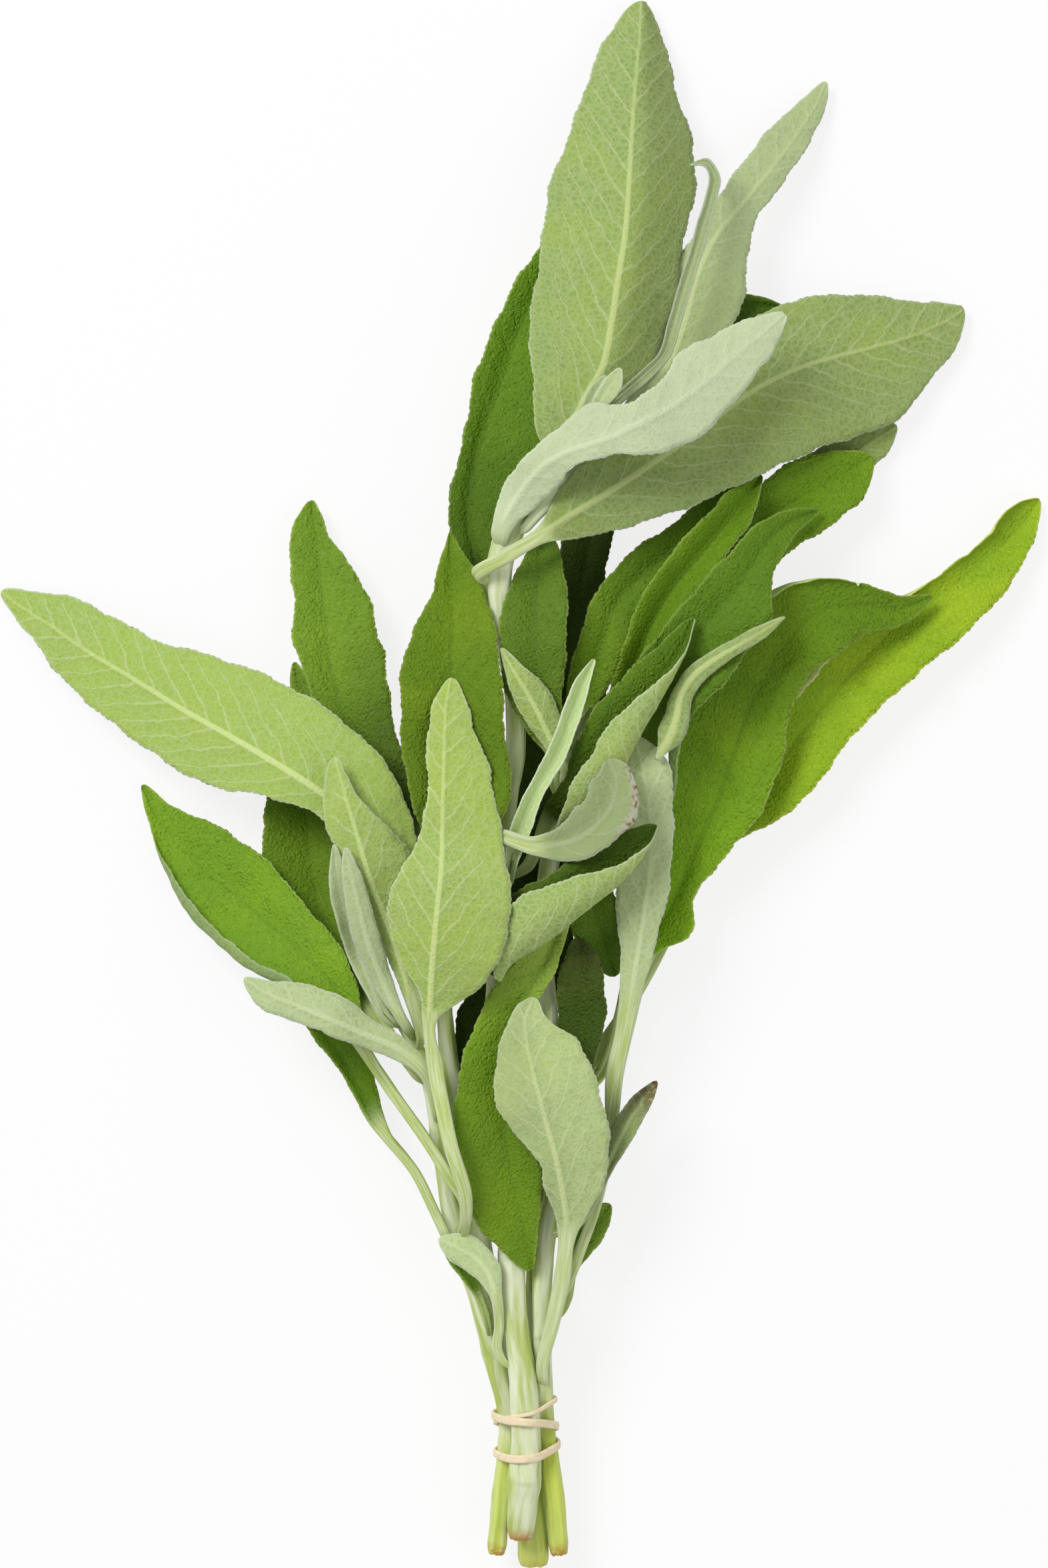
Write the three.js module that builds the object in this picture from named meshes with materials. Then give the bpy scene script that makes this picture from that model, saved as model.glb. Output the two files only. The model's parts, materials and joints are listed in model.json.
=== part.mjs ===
// A bunch of cut sage laid on its side: leafy sprigs, their stems gathered to a rubber band.
// Millimetres. +X runs across the bunch, +Y from the cut ends to the leaf tips, +Z up from the
// surface it lies on. The origin is the middle of the foot of its box.

import * as THREE from "three";

// Driving dimensions.
const RIB_THICKNESS = 1.2; // a blade at its midrib
const BLADE_THICKNESS = 0.8; // a blade halfway to its margin
const AIR = 0.36; // kept between pieces that lie on each other
const LONGEST_STEP = 11; // along a leaf or a stem, between two rings
const MID_SHARE = 0.52; // of a half blade, where the bend between rib and margin lies
const CROWN = 0.15; // how far each half blade arches between rib and margin
const FOLD_SWELL = 0.9; // how far a folded half stands out past its own midrib
const PETIOLE_REACH = 1.6; // a half narrower than this is leaf stalk, which rolls no margin
const TURN_RAMP = 3; // widths of its roll by which a half passes stalk before it is fully rolled
const TURN_HEIGHT = 1.9; // of a rolled margin above its blade
const STEEPEST = 0.4; // rise over run that a leaf takes to climb over another
const SAMPLE = 0.5; // spacing of the heights kept while the leaves are laid
const SHEET = { x: 110, y: 155 }; // half the surface that those heights cover
const EDGE_ON = 1e-9; // a face with less area than this seen from above covers no height
const RIM = 0.05; // how far past a face's edge its heights are taken, as a share of the face
const LAYING_ROUNDS = 4; // a raised piece meets other heights, so it is measured again
const MOST_MITRE = 1.5; // how far past its thickness a blade reaches round a sharp bend
const STEM_FLAT = 0.9; // flats of the square stem, as a share of its corners
const RING_CORNERS = 8;
const CAP_CORNER = 6; // the corner under the rib, which sees all the others across a cut end
const MARGIN_HEIGHTS = 5; // where in a leaf's row the heights of its margins stand, if it has them

const BAND = {
  thickness: 1.5,
  halfWidth: 6.7,
  halfHeight: 7.1,
  centre: { x: 0.4, y: -117, z: 9.5 },
  spread: 3.9, // of its two turns, along the stems
  crossing: Math.PI / 3, // of the turns, past the right side of the stems on the way under them
  bump: 14, // how short the stretch is in which one turn stands out over the other
  steps: 44,
  corners: 6,
};

// How much a blade dishes: the height of its margins as a share of its half width. A leaf that
// shows its upper side is a shallow channel, one that shows its underside is slightly domed.
const DISH = { upper: 0.2, under: -0.1 };

const GREENS = {
  upper: { color: 0x5c8a1f, roughness: 0.72 },
  dark: { color: 0x3f6b18, roughness: 0.72 },
  under: { color: 0x9db474, roughness: 0.85 },
  young: { color: 0xb3c49a, roughness: 0.88 },
  stem: { color: 0xb9c894, roughness: 0.8 },
  band: { color: 0xdcbd97, roughness: 0.6 },
};

// Every leaf, from the ones that lie lowest to the ones that lie on top. A row is one place on
// the midrib, from the leaf's foot on its stem to its tip: x, y, z, then how far the blade
// reaches to the left and right of the rib, seen from above with the tip ahead. Two more numbers,
// where given, are the heights of the left and right margins. A reach below zero is a half that
// is folded back over the rib. `turn` is the width of a rolled margin, [left, right].
const LEAVES = [
  { name: "long_right_leaf", side: "upper", dish: 0.3, turn: [1.4, 0],
    rows: [[14, -47, 8, 1.1, 1.1], [22, -34, 7, 1.1, 1.1], [28.6, -20, 7, 2.5, 1.8],
      [35.2, -9.8, 7, 4, 2.2], [43.4, 0.5, 7.5, 5.5, 7], [53.5, 13.6, 7, 6, 7.2],
      [64.3, 25.6, 6, 5.5, 8.4], [76.3, 35.4, 4.6, 3, 8], [85.4, 42.6, 3, 3.6, 5.2],
      [90, 47.6, 2, 3.6, 2.5], [92.5, 51.2, 1.5, 0, 0]] },
  { name: "crown_back_leaf", side: "dark",
    rows: [[-6, 33, 14, 1.1, 1.1], [-8.5, 40, 12, 3, 3.5], [-10, 48.5, 10, 3.6, 8],
      [-9.2, 55, 9, 3.2, 10], [-7.3, 63, 8, 3.2, 11], [-4.7, 70.5, 7, 4.6, 10.5],
      [-1, 81, 5, 4.3, 10], [3.5, 90.5, 3, 4, 7], [6.2, 97, 1.8, 2, 3.5], [8, 101, 1.4, 0, 0]] },
  { name: "hidden_upright_leaf", side: "dark",
    rows: [[-3.4, -60, 10, 1, 1], [-4.6, -53, 10, 6, 4.8], [-4, -45, 10, 8.4, 7],
      [-1.6, -36, 10, 7, 8], [0.8, -28, 11, 6, 8], [3.2, -15, 11, 5.6, 6.4], [5.4, -1, 10, 7, 8.4],
      [6.6, 10, 9, 7.6, 8.6], [7.3, 20.5, 7, 7, 6.6], [8.2, 28.5, 5, 6, 4.6],
      [10.5, 37, 3.5, 5.5, 3.8], [12.2, 45, 2.4, 4.5, 3.6],
      [13.4, 51, 1.8, 2.4, 2.2], [14, 54.5, 1.5, 0, 0]] },
  { name: "notch_leaf", side: "dark",
    rows: [[20, 70, 12, 1, 1], [27, 79.5, 12, 3, 3.5], [34, 84, 10, 3, 4.5],
      [41, 85.6, 8, 1.8, 3], [47.3, 84.8, 6, 0, 0]] },
  { name: "back_tip_leaf", side: "under",
    rows: [[30, 35, 6, 1, 1], [42, 46, 5, 3.5, 3], [53, 54, 4, 5, 3.5],
      [60, 59.5, 3.5, 4.5, 3.8], [64.5, 62.5, 3, 2.6, 2.4], [67, 64.3, 2.6, 0, 0]] },
  { name: "east_leaf", side: "upper", turn: [5, 0],
    rows: [[14.6, -50, 9, 1, 1], [17.2, -41, 9, 1, 1], [18.8, -34, 10, 1.1, 1.1],
      [21.4, -28.6, 10, 2.4, 3], [25, -23.6, 10, 4.6, 5.6], [27.6, -18.6, 10.5, 6, 3.2],
      [29.8, -13.6, 11, 7.4, 4.2],
      [34.5, -3, 12, 10, 6.8], [38.5, 8.5, 12, 12.4, 7.6],
      [42, 17, 12, 13.4, 6.4], [46.2, 24, 11, 11.4, 6.6], [53.2, 31, 8, 7.6, 8],
      [60.5, 31.8, 5, 4.6, 5], [67, 31.2, 3, 2.8, 3], [73, 33.4, 2, 0, 0]] },
  { name: "upper_east_leaf", side: "upper",
    rows: [[14, 21, 12, 1.1, 1.1], [26, 33, 12, 5, 6], [34, 40, 11, 5, 7],
      [41, 46, 10, 4, 7.5], [47, 50, 9, 6, 7.4], [54, 53.8, 7.5, 5.5, 6.6],
      [59, 56.5, 6, 3.5, 4.5], [62.5, 58.5, 5, 0, 0]] },
  { name: "centre_fan_leaf", side: "dark",
    rows: [[8, 9, 13, 1.1, 1.1], [11.3, 18, 13, 3.5, 3.6], [13.8, 25.5, 13, 4, 4.5],
      [16.5, 32.3, 13, 4, 4.3], [21.5, 38, 13, 4, 5], [27, 42.3, 12.5, 3.6, 5],
      [33, 47.8, 12, 2.8, 4], [37, 51.5, 11, 1.6, 2], [40, 54.5, 10, 0, 0]] },
  { name: "folded_fan_leaf", side: "upper", dish: 0.8,
    rows: [[13, 6, 15, 1.2, 1.6], [19, 19, 16, 2.8, 4], [23, 29, 17, 3.6, 3.4],
      [26.8, 35.2, 17, 4, 3.6], [31, 40.2, 17, 4, 3.8], [35, 45, 16, 3.8, 3.4],
      [39, 50.2, 14, 2.8, 2.4], [42.3, 55.2, 12, 0, 0]] },
  { name: "twisted_leaf", side: "dark",
    rows: [[12, -1, 14, 1.2, 1.4], [17.6, 9, 14.5, 3.6, 6.4], [23.5, 18.5, 15, 4.6, 9],
      [28.5, 24.5, 15, 5, 9.6], [33, 29.5, 15, 5.2, 9], [37.3, 34.2, 15, 5.4, 8], [40.5, 39, 15, 4.4, 4.4],
      [43.5, 43.2, 14.5, 3.6, 3.4], [47.8, 46.8, 13, 2.2, 2.2], [52.6, 48.8, 11, 0, 0]] },
  { name: "inner_upright_leaf", side: "dark",
    rows: [[5.5, 4, 13, 1.1, 1.1], [3.8, 11, 13, 4, 3], [2.3, 18.5, 12.5, 6, 4.8],
      [2, 25.6, 12, 6.3, 5.6], [2.2, 32.8, 11, 5.6, 5.4], [2.6, 38.8, 10, 3, 4.4],
      [3.2, 43, 9, 1.6, 2.6], [3.8, 46, 8.5, 0, 0]] },
  { name: "hanging_leaf", side: "dark",
    rows: [[8, -8, 14, 1, 1], [10.2, -15, 14, 3.4, 3.6], [12.4, -22, 13, 4.4, 5],
      [14.2, -27.6, 11, 4, 4.4], [15.4, -31.6, 10, 2.6, 2.8], [16.2, -34.4, 9, 0, 0]] },
  { name: "olive_leaf", side: "dark",
    rows: [[8.5, -70, 13, 1, 1], [9.2, -60, 13, 1.1, 1.1], [9.6, -50, 14, 2.8, 2.6],
      [10, -42.8, 15, 4, 4.2], [10.1, -36.8, 15, 4.2, 4.3], [10.1, -31, 14, 3.2, 3],
      [9.5, -27, 13, 0, 0]] },
  { name: "low_right_leaf", side: "dark",
    rows: [[7.5, -92, 13, 0.9, 0.9], [8.6, -86, 13, 1, 1.2], [9.8, -82.8, 12.5, 2.4, 2.2],
      [11.7, -79.6, 12, 3, 2.8], [13.5, -76.9, 11, 2.4, 2.2], [15.4, -74.7, 10, 0, 0]] },
  { name: "low_left_back_leaf", side: "dark",
    rows: [[-6.6, -95, 10, 0.7, 0.7], [-8.2, -90.6, 10, 0.8, 0.8], [-10.2, -87.2, 10, 1.2, 1.8],
      [-12.4, -84.4, 9, 1.2, 1.8], [-14.5, -82, 8, 0, 0]] },
  { name: "narrow_dark_leaf", side: "dark",
    rows: [[-13, -82, 9, 0.9, 0.9], [-19.5, -69, 8, 0.9, 0.9], [-24.5, -63, 7, 1, 1],
      [-26.8, -60, 6, 1.2, 2], [-29.2, -55.5, 5, 1.2, 3.2], [-32.5, -49.4, 4, 1.6, 5],
      [-36.5, -44, 3, 1.8, 5], [-41, -38.5, 2, 1.4, 2.6], [-44, -35, 1.5, 0, 0]] },
  { name: "west_back_leaf", side: "dark",
    rows: [[-20, -50, 12, 1.1, 1.1], [-26, -41, 10, 1.5, 1.5], [-32, -31, 8, 4.5, 5],
      [-36.5, -23, 6.5, 6.5, 7], [-38.5, -13, 5, 8.2, 7.5], [-39.2, -5, 4, 7.4, 6.5],
      [-41, 1, 3, 4.4, 4], [-42.8, 6, 2.4, 0, 0]] },
  { name: "small_west_leaf", side: "dark",
    rows: [[-22, -4, 8, 1, 1], [-30, 5, 6, 2.5, 2.5], [-37, 14, 4, 3, 3],
      [-40.5, 19, 3, 1.6, 1.6], [-41.3, 22, 2.6, 0, 0]] },
  { name: "north_west_leaf", side: "dark",
    rows: [[-16, -18, 14, 1.2, 1.2], [-20, -7, 13, 2, 2.5], [-27, 4, 11, 4, 5.5],
      [-32.3, 13.6, 9, 4.5, 9], [-34.7, 20.8, 7.5, 4.8, 10], [-35.4, 27, 6.5, 5.9, 9],
      [-35.9, 33, 5.5, 5.2, 8], [-36.5, 39, 4.5, 5.2, 5], [-37.1, 44.8, 3.6, 4.8, 2],
      [-37.7, 48.5, 3, 2.6, 1.2], [-38, 51, 2.6, 0, 0]] },
  { name: "small_pale_leaf", side: "under",
    rows: [[8, 0, 18, 1, 1], [5.5, 6, 19, 1.3, 1.3], [3.7, 10, 19, 2.2, 3.2],
      [1.3, 14.8, 19, 2.9, 3.6], [-1.7, 19.8, 19, 1.6, 1.9], [-4.2, 24.2, 18, 0, 0]] },
  { name: "north_east_leaf", side: "under",
    rows: [[1.4, 46.6, 20, 1, 1], [5.6, 51.4, 20.5, 1.5, 1.5], [10.6, 55.8, 20.5, 1.5, 1.5],
      [15, 61.4, 20, 1.3, 1.3], [20, 68.6, 17, 1.3, 1.3], [26, 75.5, 15, 4, 5],
      [28.5, 82, 14, 5, 8], [31, 91, 13, 4.5, 9], [34.5, 98, 12, 3.5, 6.5],
      [39, 103.5, 10, 4.3, 3.6], [44, 109.6, 8, 4.8, 3.2], [49.3, 117, 5, 4, 2.6],
      [52.5, 122, 3, 2.4, 1.8], [54.2, 126, 2, 0, 0]] },
  { name: "crown_leaf", side: "under",
    rows: [[5, 54.5, 21, 1.4, 1.4], [7.6, 61, 21, 6, 1.6], [10.5, 67.5, 21, 10, 2.6],
      [14, 74, 20, 13.8, 7.5],
      [15.4, 81, 19, 14.5, 9.4], [16.6, 89, 18, 14.3, 10.8], [18, 98, 16, 14.6, 10.5],
      [18.6, 106, 14, 14, 12.2], [19.3, 117, 10.5, 10.7, 11], [20, 126, 7, 8.3, 7.2],
      [20.8, 135, 4, 5, 4], [21.1, 140.5, 2.4, 0, 0]] },
  { name: "hooked_leaf", side: "young", dish: 1,
    rows: [[10.3, 61.6, 22, 0.9, 0.9], [16.3, 67.6, 22, 1, 1], [21.1, 71.8, 22, 1, 1],
      [24.9, 76, 22, 1, 1], [26.5, 81, 22, 1.1, 1.1], [28.2, 87, 22, 1.1, 1.1],
      [29.8, 92, 21, 1.1, 1.1], [31.5, 98, 20, 1.1, 1.1], [33.2, 104, 18, 1, 1],
      [33.8, 107.8, 17, 0.9, 0.9], [32.6, 110.2, 16, 0.8, 0.8], [29.3, 110, 15, 0, 0]] },
  { name: "silver_leaf", side: "young",
    rows: [[8, -88, 13, 1, 1], [12.7, -75.2, 13, 1, 1], [15.4, -62, 14, 1.2, 1.2],
      [16.6, -51.2, 16, 2, 1.2], [18, -44, 17, 1.8, 1.4], [19.9, -32, 19, 2.8, 2.4],
      [21.5, -21.2, 20, 5.4, 3.6], [22.6, -12, 20, 6.8, 3.8], [22.4, -6, 20, 6, 4],
      [21.2, 1.6, 20, 5, 4.8], [20.2, 6, 19, 3, 3], [19.3, 8.8, 18, 0, 0]] },
  { name: "ribbon_leaf", side: "under",
    rows: [[23.6, 4.4, 18, 0.8, 0.8], [25.4, 7.6, 19, 1.8, 1.8], [26.9, 11.6, 20, 1.8, 1.8],
      [27.7, 15.6, 20, 1.5, 1.9], [30, 19.2, 20, 1.6, 2], [33.4, 21.8, 20, 1.6, 1.7],
      [37.4, 24.2, 20, 1.5, 1.4], [41.7, 26.7, 19, 1.3, 1.2], [46.4, 29.6, 18, 0, 0]] },
  { name: "dark_folded_leaf", side: "dark",
    rows: [[2, -12, 20, 1.2, 1.2], [5.5, -7, 21, 3, 0.4, 0.8, 1.2],
      [10.3, -3, 22, 5, -3, 1, 3.2], [16.3, 3.4, 23, 8.2, -4.8, 1.5, 3.8],
      [19.9, 10, 24, 8, -4.2, 1.5, 3.8], [24.1, 17.2, 24, 6, -1, 1, 4],
      [27.7, 22.8, 23, 4.2, 0.3, 0.5, 3], [30.2, 29.4, 22, 0, 0]] },
  { name: "slender_leaf", side: "young", dish: 1.6,
    rows: [[-2.5, -15, 22, 1, 1], [-0.6, -7.6, 23, 1.6, 1.8], [2.9, 0.3, 25, 1.4, 1.4],
      [6, 5.8, 26, 1.6, 1.6], [8.7, 13, 26, 1.6, 1.4], [10.8, 18.8, 25, 1.1, 1],
      [12.5, 22.2, 24, 0, 0]] },
  { name: "drooping_leaf", side: "upper",
    rows: [[7.5, -22, 20, 1.2, 1.2], [3.7, -30.8, 20, 2.6, 4], [-1, -39.2, 20, 3, 5.4],
      [-3.5, -46.4, 20, 4.6, 6.4], [-3.8, -56, 20, 6, 8.4], [-2.6, -68, 19, 5.6, 9.3],
      [-1, -75, 18, 4.2, 8.2], [0.3, -81, 17, 2, 5], [1.4, -86.6, 16, 0, 0]] },
  { name: "pocket_leaf", side: "dark",
    rows: [[-7, -39, 22, 1.2, 1.2], [-5.3, -34, 23, 4, 0.2, 0.8, 1.4],
      [-2.9, -30.8, 24, 7.6, -4, 1.5, 3.6], [4.3, -26, 25, 8.8, -7.8, 1.5, 5],
      [10.3, -21.2, 26, 7.6, -5.6, 1.5, 5], [15.7, -17, 26, 7, -2.6, 1.2, 4.5],
      [19.6, -13, 26, 5.4, -0.6, 0.9, 3.4], [22, -10, 26, 3.6, 0.4, 0.6, 2], [23.6, -7.2, 25, 0, 0]] },
  { name: "curled_leaf", side: "young", dish: 0.3,
    rows: [[-5, -9.5, 24, 1.2, 1.2], [1.9, -10.8, 25, 1.6, 1.8], [7.9, -10.2, 27, 3.4, 3.5],
      [12.6, -7.4, 28, 4.7, 4.2], [15.2, -4, 29, 4.5, 4.8], [16.2, 0.4, 29, 4.2, 3.4],
      [15.6, 3, 29, 2.4, 2.4], [14.8, 4.6, 29, 0, 0]] },
  { name: "west_leaf", side: "under",
    rows: [[-18, -22, 20, 1.3, 1.3], [-23.3, -14, 20, 2, 5.5], [-29.3, -7, 20, 3, 10],
      [-35.3, -2, 19, 3.8, 12], [-43, 3, 17, 6, 13], [-52.1, 8.4, 14, 9.6, 12.6],
      [-61, 13.4, 11, 9.5, 11], [-70.1, 19, 8, 8.6, 8], [-78.5, 24, 5.5, 6.8, 7.6],
      [-85.5, 28.8, 3.6, 4, 6], [-90.5, 32, 2.4, 2, 3.2], [-93.9, 34.6, 1.6, 0, 0]] },
  { name: "centre_leaf", side: "upper",
    rows: [[-14.5, -22, 22, 1.2, 1.2], [-14.6, -15, 22, 2, 3], [-14.7, -8, 23, 3.5, 9],
      [-14.6, -3, 23, 5.3, 12], [-14.1, 7.5, 23, 7.6, 11], [-13.3, 15, 23, 8.5, 9.6],
      [-13, 21, 22, 8.5, 8.8], [-12.9, 27, 21, 6.6, 7.8], [-12.8, 33, 20, 3.8, 6],
      [-13, 38, 19, 2.4, 4], [-13.1, 42, 18, 1, 1.6], [-13.1, 45, 17, 0, 0]] },
  { name: "lower_west_leaf", side: "upper", turn: [1.4, 0],
    rows: [[-10.5, -74, 12, 1, 1], [-17.3, -63.2, 12, 1, 1], [-24, -54, 12, 1, 1],
      [-29.5, -45, 12, 1.5, 1.5], [-34.1, -35.5, 12, 5, 4.5], [-39, -30.3, 11, 6.6, 6],
      [-44, -26, 10, 8, 6.8], [-50, -21.2, 8, 8, 8.4], [-56, -16.4, 6, 6.8, 8.2],
      [-61.7, -11, 4, 4.4, 6.6], [-66, -5, 3, 1.8, 2.6], [-68.5, 0, 2, 0, 0]] },
  { name: "pale_folded_leaf", side: "under",
    rows: [[-18.6, -43, 20, 1, 1], [-21.3, -33, 22, 1.8, 4], [-24, -25, 23, 2.2, 7],
      [-27.2, -17, 24, 2, 8.5], [-29.4, -9.5, 24, 4.5, 6], [-31.2, -3.4, 24, 4.4, 2.3],
      [-32.3, 0.6, 23, 3.4, 1.5], [-33.5, 5, 22, 0, 0]] },
  { name: "young_left_leaf", side: "young", dish: 0.5,
    rows: [[-24.5, -41, 18, 0.9, 0.9], [-27, -35.6, 19, 1.6, 1.6], [-29.4, -29.6, 20, 2, 1.8],
      [-31.6, -22.4, 20, 2, 1.8], [-33, -15.4, 20, 1.4, 1.4], [-33.6, -10.4, 19, 0, 0]] },
  { name: "young_right_leaf", side: "young",
    rows: [[-22, -41, 20, 1, 1], [-25, -34.6, 21, 1.8, 1.8], [-27.4, -28.4, 22, 2.3, 2.3],
      [-29.2, -21.4, 22, 2.3, 2.2], [-30.6, -15.4, 22, 1.6, 1.6], [-31.6, -11, 21, 0, 0]] },
  { name: "pale_west_leaf", side: "young",
    rows: [[-15.5, -57, 18, 1.2, 1.2], [-17.3, -51, 19, 1.5, 1.5], [-22, -47, 20, 2, 2],
      [-28, -44.3, 20, 2.4, 3], [-34.1, -41.6, 19, 2.7, 4.5], [-40.1, -39.2, 17, 2.8, 4.1],
      [-46, -36.8, 14, 2.8, 2.2], [-49.9, -34.4, 12, 0, 0]] },
  { name: "front_leaf", side: "under",
    rows: [[-10.3, -73, 17, 1.2, 1.2], [-12.9, -64, 19, 1.3, 1.3], [-15.7, -50, 22, 1.4, 1.4],
      [-16.6, -41, 24, 1.5, 2], [-16.5, -36.5, 25, 2, 8], [-16.2, -32, 26, 5.6, 11],
      [-15.8, -27.2, 27, 7.6, 12.4], [-15.2, -21, 28, 8.9, 13], [-14.6, -15.2, 28, 6.8, 11.9],
      [-14.4, -9.2, 28, 4.2, 10.6], [-14.3, -3.2, 28, 2.8, 9.4], [-14.1, 3, 27, 3.1, 8],
      [-14, 9, 26, 2.9, 5.6], [-13.6, 15, 25, 2.2, 3.4], [-12.8, 19, 24, 0, 0]] },
  { name: "browned_leaf", side: "under", dish: 0.5,
    rows: [[11, -76, 14, 0.9, 0.9], [14.2, -69, 16, 1.2, 1.2], [17, -63, 17, 2.2, 1.8],
      [19.4, -58.6, 17, 2.2, 2], [21.8, -55.2, 17, 1.4, 1.4], [23.7, -52.6, 16, 0, 0]] },
  { name: "low_front_leaf", side: "under",
    rows: [[3.2, -104, 15, 1.1, 1.1], [5, -96, 16, 1.3, 1.3], [6.7, -88, 17, 1.5, 1.5],
      [7.6, -80, 18, 1.6, 1.8], [7.3, -75.4, 20, 2.2, 5], [6.6, -71, 22, 3, 8.2], [5.5, -65.6, 24, 3.3, 10], [4.2, -61, 25, 5.5, 10.6],
      [2.9, -56, 26, 7.6, 10.5], [1.6, -51, 26, 7, 10], [0.6, -46.4, 26, 5.4, 8.8],
      [0.2, -42, 26, 2.8, 5], [1, -39.3, 25, 1.8, 2.4], [1.9, -37.5, 25, 0, 0]] },
  { name: "low_left_leaf", side: "young",
    rows: [[-4.6, -101, 14, 0.9, 0.9], [-4.4, -96, 15, 0.9, 0.9], [-5.1, -90.5, 17, 1.2, 1.3],
      [-6.6, -86.4, 18, 2.3, 2.6], [-9.3, -83.6, 18, 2.9, 2.9], [-12.4, -82, 18, 2.6, 2.7],
      [-15.3, -80.6, 17, 0, 0]] },
  { name: "broad_east_leaf", side: "under",
    rows: [[-8.3, 36.4, 20, 1.2, 1.2], [-3, 40.2, 25, 1.3, 1.3], [3.4, 44.2, 26, 1.6, 1.8],
      [8.6, 47.6, 25, 4.6, 4.8], [15, 51.6, 23, 7.4, 7], [23, 57, 20, 8, 9.8],
      [31, 62.6, 17, 8, 11.8], [40, 69.4, 14, 9.6, 14], [50, 74.5, 11, 11.8, 14.6], [62, 78, 7, 10, 14],
      [71.5, 81, 4.5, 6, 7.6], [77, 83.7, 3, 2.6, 3], [79, 85.2, 2.4, 0, 0]] },
  { name: "bud_leaf_left", side: "young", dish: 0.3,
    rows: [[9.5, 62.5, 24, 1, 1], [11.5, 66, 25, 1.6, 1.6], [13.2, 69.5, 26, 1.5, 1.5],
      [14.6, 72.2, 26, 0, 0]] },
  { name: "bud_leaf_right", side: "young", dish: 0.3,
    rows: [[12, 64.5, 25, 1, 1], [14, 68, 26, 1.6, 1.6], [16, 71, 27, 1.5, 1.5],
      [17, 73.4, 27, 0, 0]] },
  { name: "young_crown_leaf", side: "young",
    rows: [[-3.8, 45.5, 25, 1.6, 1.6], [-0.6, 51.3, 26, 2.2, 2.4], [3.6, 56, 27, 2.6, 3],
      [8.5, 58.6, 27.5, 4.6, 2.4], [14, 60.4, 28, 6.6, 3], [20, 63.2, 28, 4.2, 5.8],
      [26, 66.5, 28, 4.6, 7.2], [31.5, 70.6, 28, 6.6, 6.4], [37, 75.4, 27, 5.2, 5.2],
      [42.6, 80, 25, 3.2, 3.2], [46.3, 83.2, 24, 0, 0]] },
];

// The stems, each from its cut end up its sprig: x, y, z and the radius over the corners. `after`
// is the leaf that a stem is laid on; the leaves that follow it in the list lie on the stem.
const STEMS = [
  { name: "right_sprig_stem", after: "back_tip_leaf",
    rows: [[1.7, -140.3, 3.4, 3], [1.5, -130, 5, 2.8], [1.3, -117, 5.9, 2.5], [2, -104, 6.3, 2.4],
      [2.6, -87, 7, 2.3], [3, -63, 9, 2.3], [4, -40, 12, 2.1], [3.2, -28, 13.5, 2],
      [5.5, -8, 14, 1.8], [10, 8.8, 12.5, 1.5], [14, 20.8, 11, 1.2]] },
  { name: "lower_sprig_stem", after: "twisted_leaf",
    rows: [[6.3, -138, 5.6, 2], [5.5, -128, 8.3, 1.9], [4.2, -117, 9.5, 1.7], [3.4, -106, 11.2, 1.75],
      [3.2, -97, 12, 1.8], [3.3, -87, 12.2, 1.9], [4.6, -76, 12, 1.9], [7.4, -65, 12, 1.8],
      [9.6, -55, 12, 1.6], [11.2, -40, 13, 1.4], [12, -26, 14, 1.1]] },
  { name: "hidden_sprig_stem", after: "twisted_leaf",
    rows: [[-3.8, -107, 4.2, 1.4], [-4.8, -101, 4.6, 1.8], [-6.2, -94, 5.4, 2.2],
      [-8.4, -81, 7, 2.6], [-10.6, -66, 8.5, 2.4], [-12.9, -52, 10.5, 1.8], [-14, -42, 12, 1.5],
      [-14.2, -34, 12.6, 1.4], [-14, -20, 14, 1.2]] },
  { name: "left_sprig_stem", after: "twisted_leaf",
    rows: [[-5, -138, 6, 1.9], [-4.1, -128, 7.8, 1.9], [-3, -118, 8.2, 1.8],
      [-2.9, -113, 8, 1.8], [-4.4, -106, 8.8, 1.95], [-8, -92, 10.4, 1.95], [-12.8, -77, 12.2, 1.8], [-15, -63, 13.6, 1.6], [-17, -52, 15, 1.5],
      [-21, -43.5, 16, 1.3], [-24, -39, 16.6, 1.1]] },
  { name: "crown_sprig_stem", after: "twisted_leaf",
    rows: [[-0.7, -135, 9.6, 2.5], [-0.1, -126, 11.6, 2.9], [0.4, -117, 12.6, 2.95],
      [-0.4, -104, 13.2, 2.6], [-1.8, -92, 13.5, 2.4], [-3, -63, 14.8, 2.3], [-4.7, -39, 16.5, 2.2],
      [-3.6, -8, 17.5, 2], [-1.7, 4, 18, 1.9], [-1.7, 15, 18.5, 1.8], [-3.5, 27, 19, 2],
      [-4.4, 38, 20, 2.5], [-2.4, 45, 21, 2.7], [0.9, 52, 21.5, 2.5], [3.6, 58, 22, 1.9],
      [6, 61, 22.4, 1.4]] },
];

// ---- rows to rings -------------------------------------------------------------------------

/** The value between p1 and p2 at share t, on the smooth curve through four in a row. */
function smooth(p0, p1, p2, p3, t) {
  const a = 2 * p1;
  const b = p2 - p0;
  const c = 2 * p0 - 5 * p1 + 4 * p2 - p3;
  const d = 3 * p1 - p0 - 3 * p2 + p3;
  return 0.5 * (a + b * t + c * t * t + d * t * t * t);
}

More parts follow.
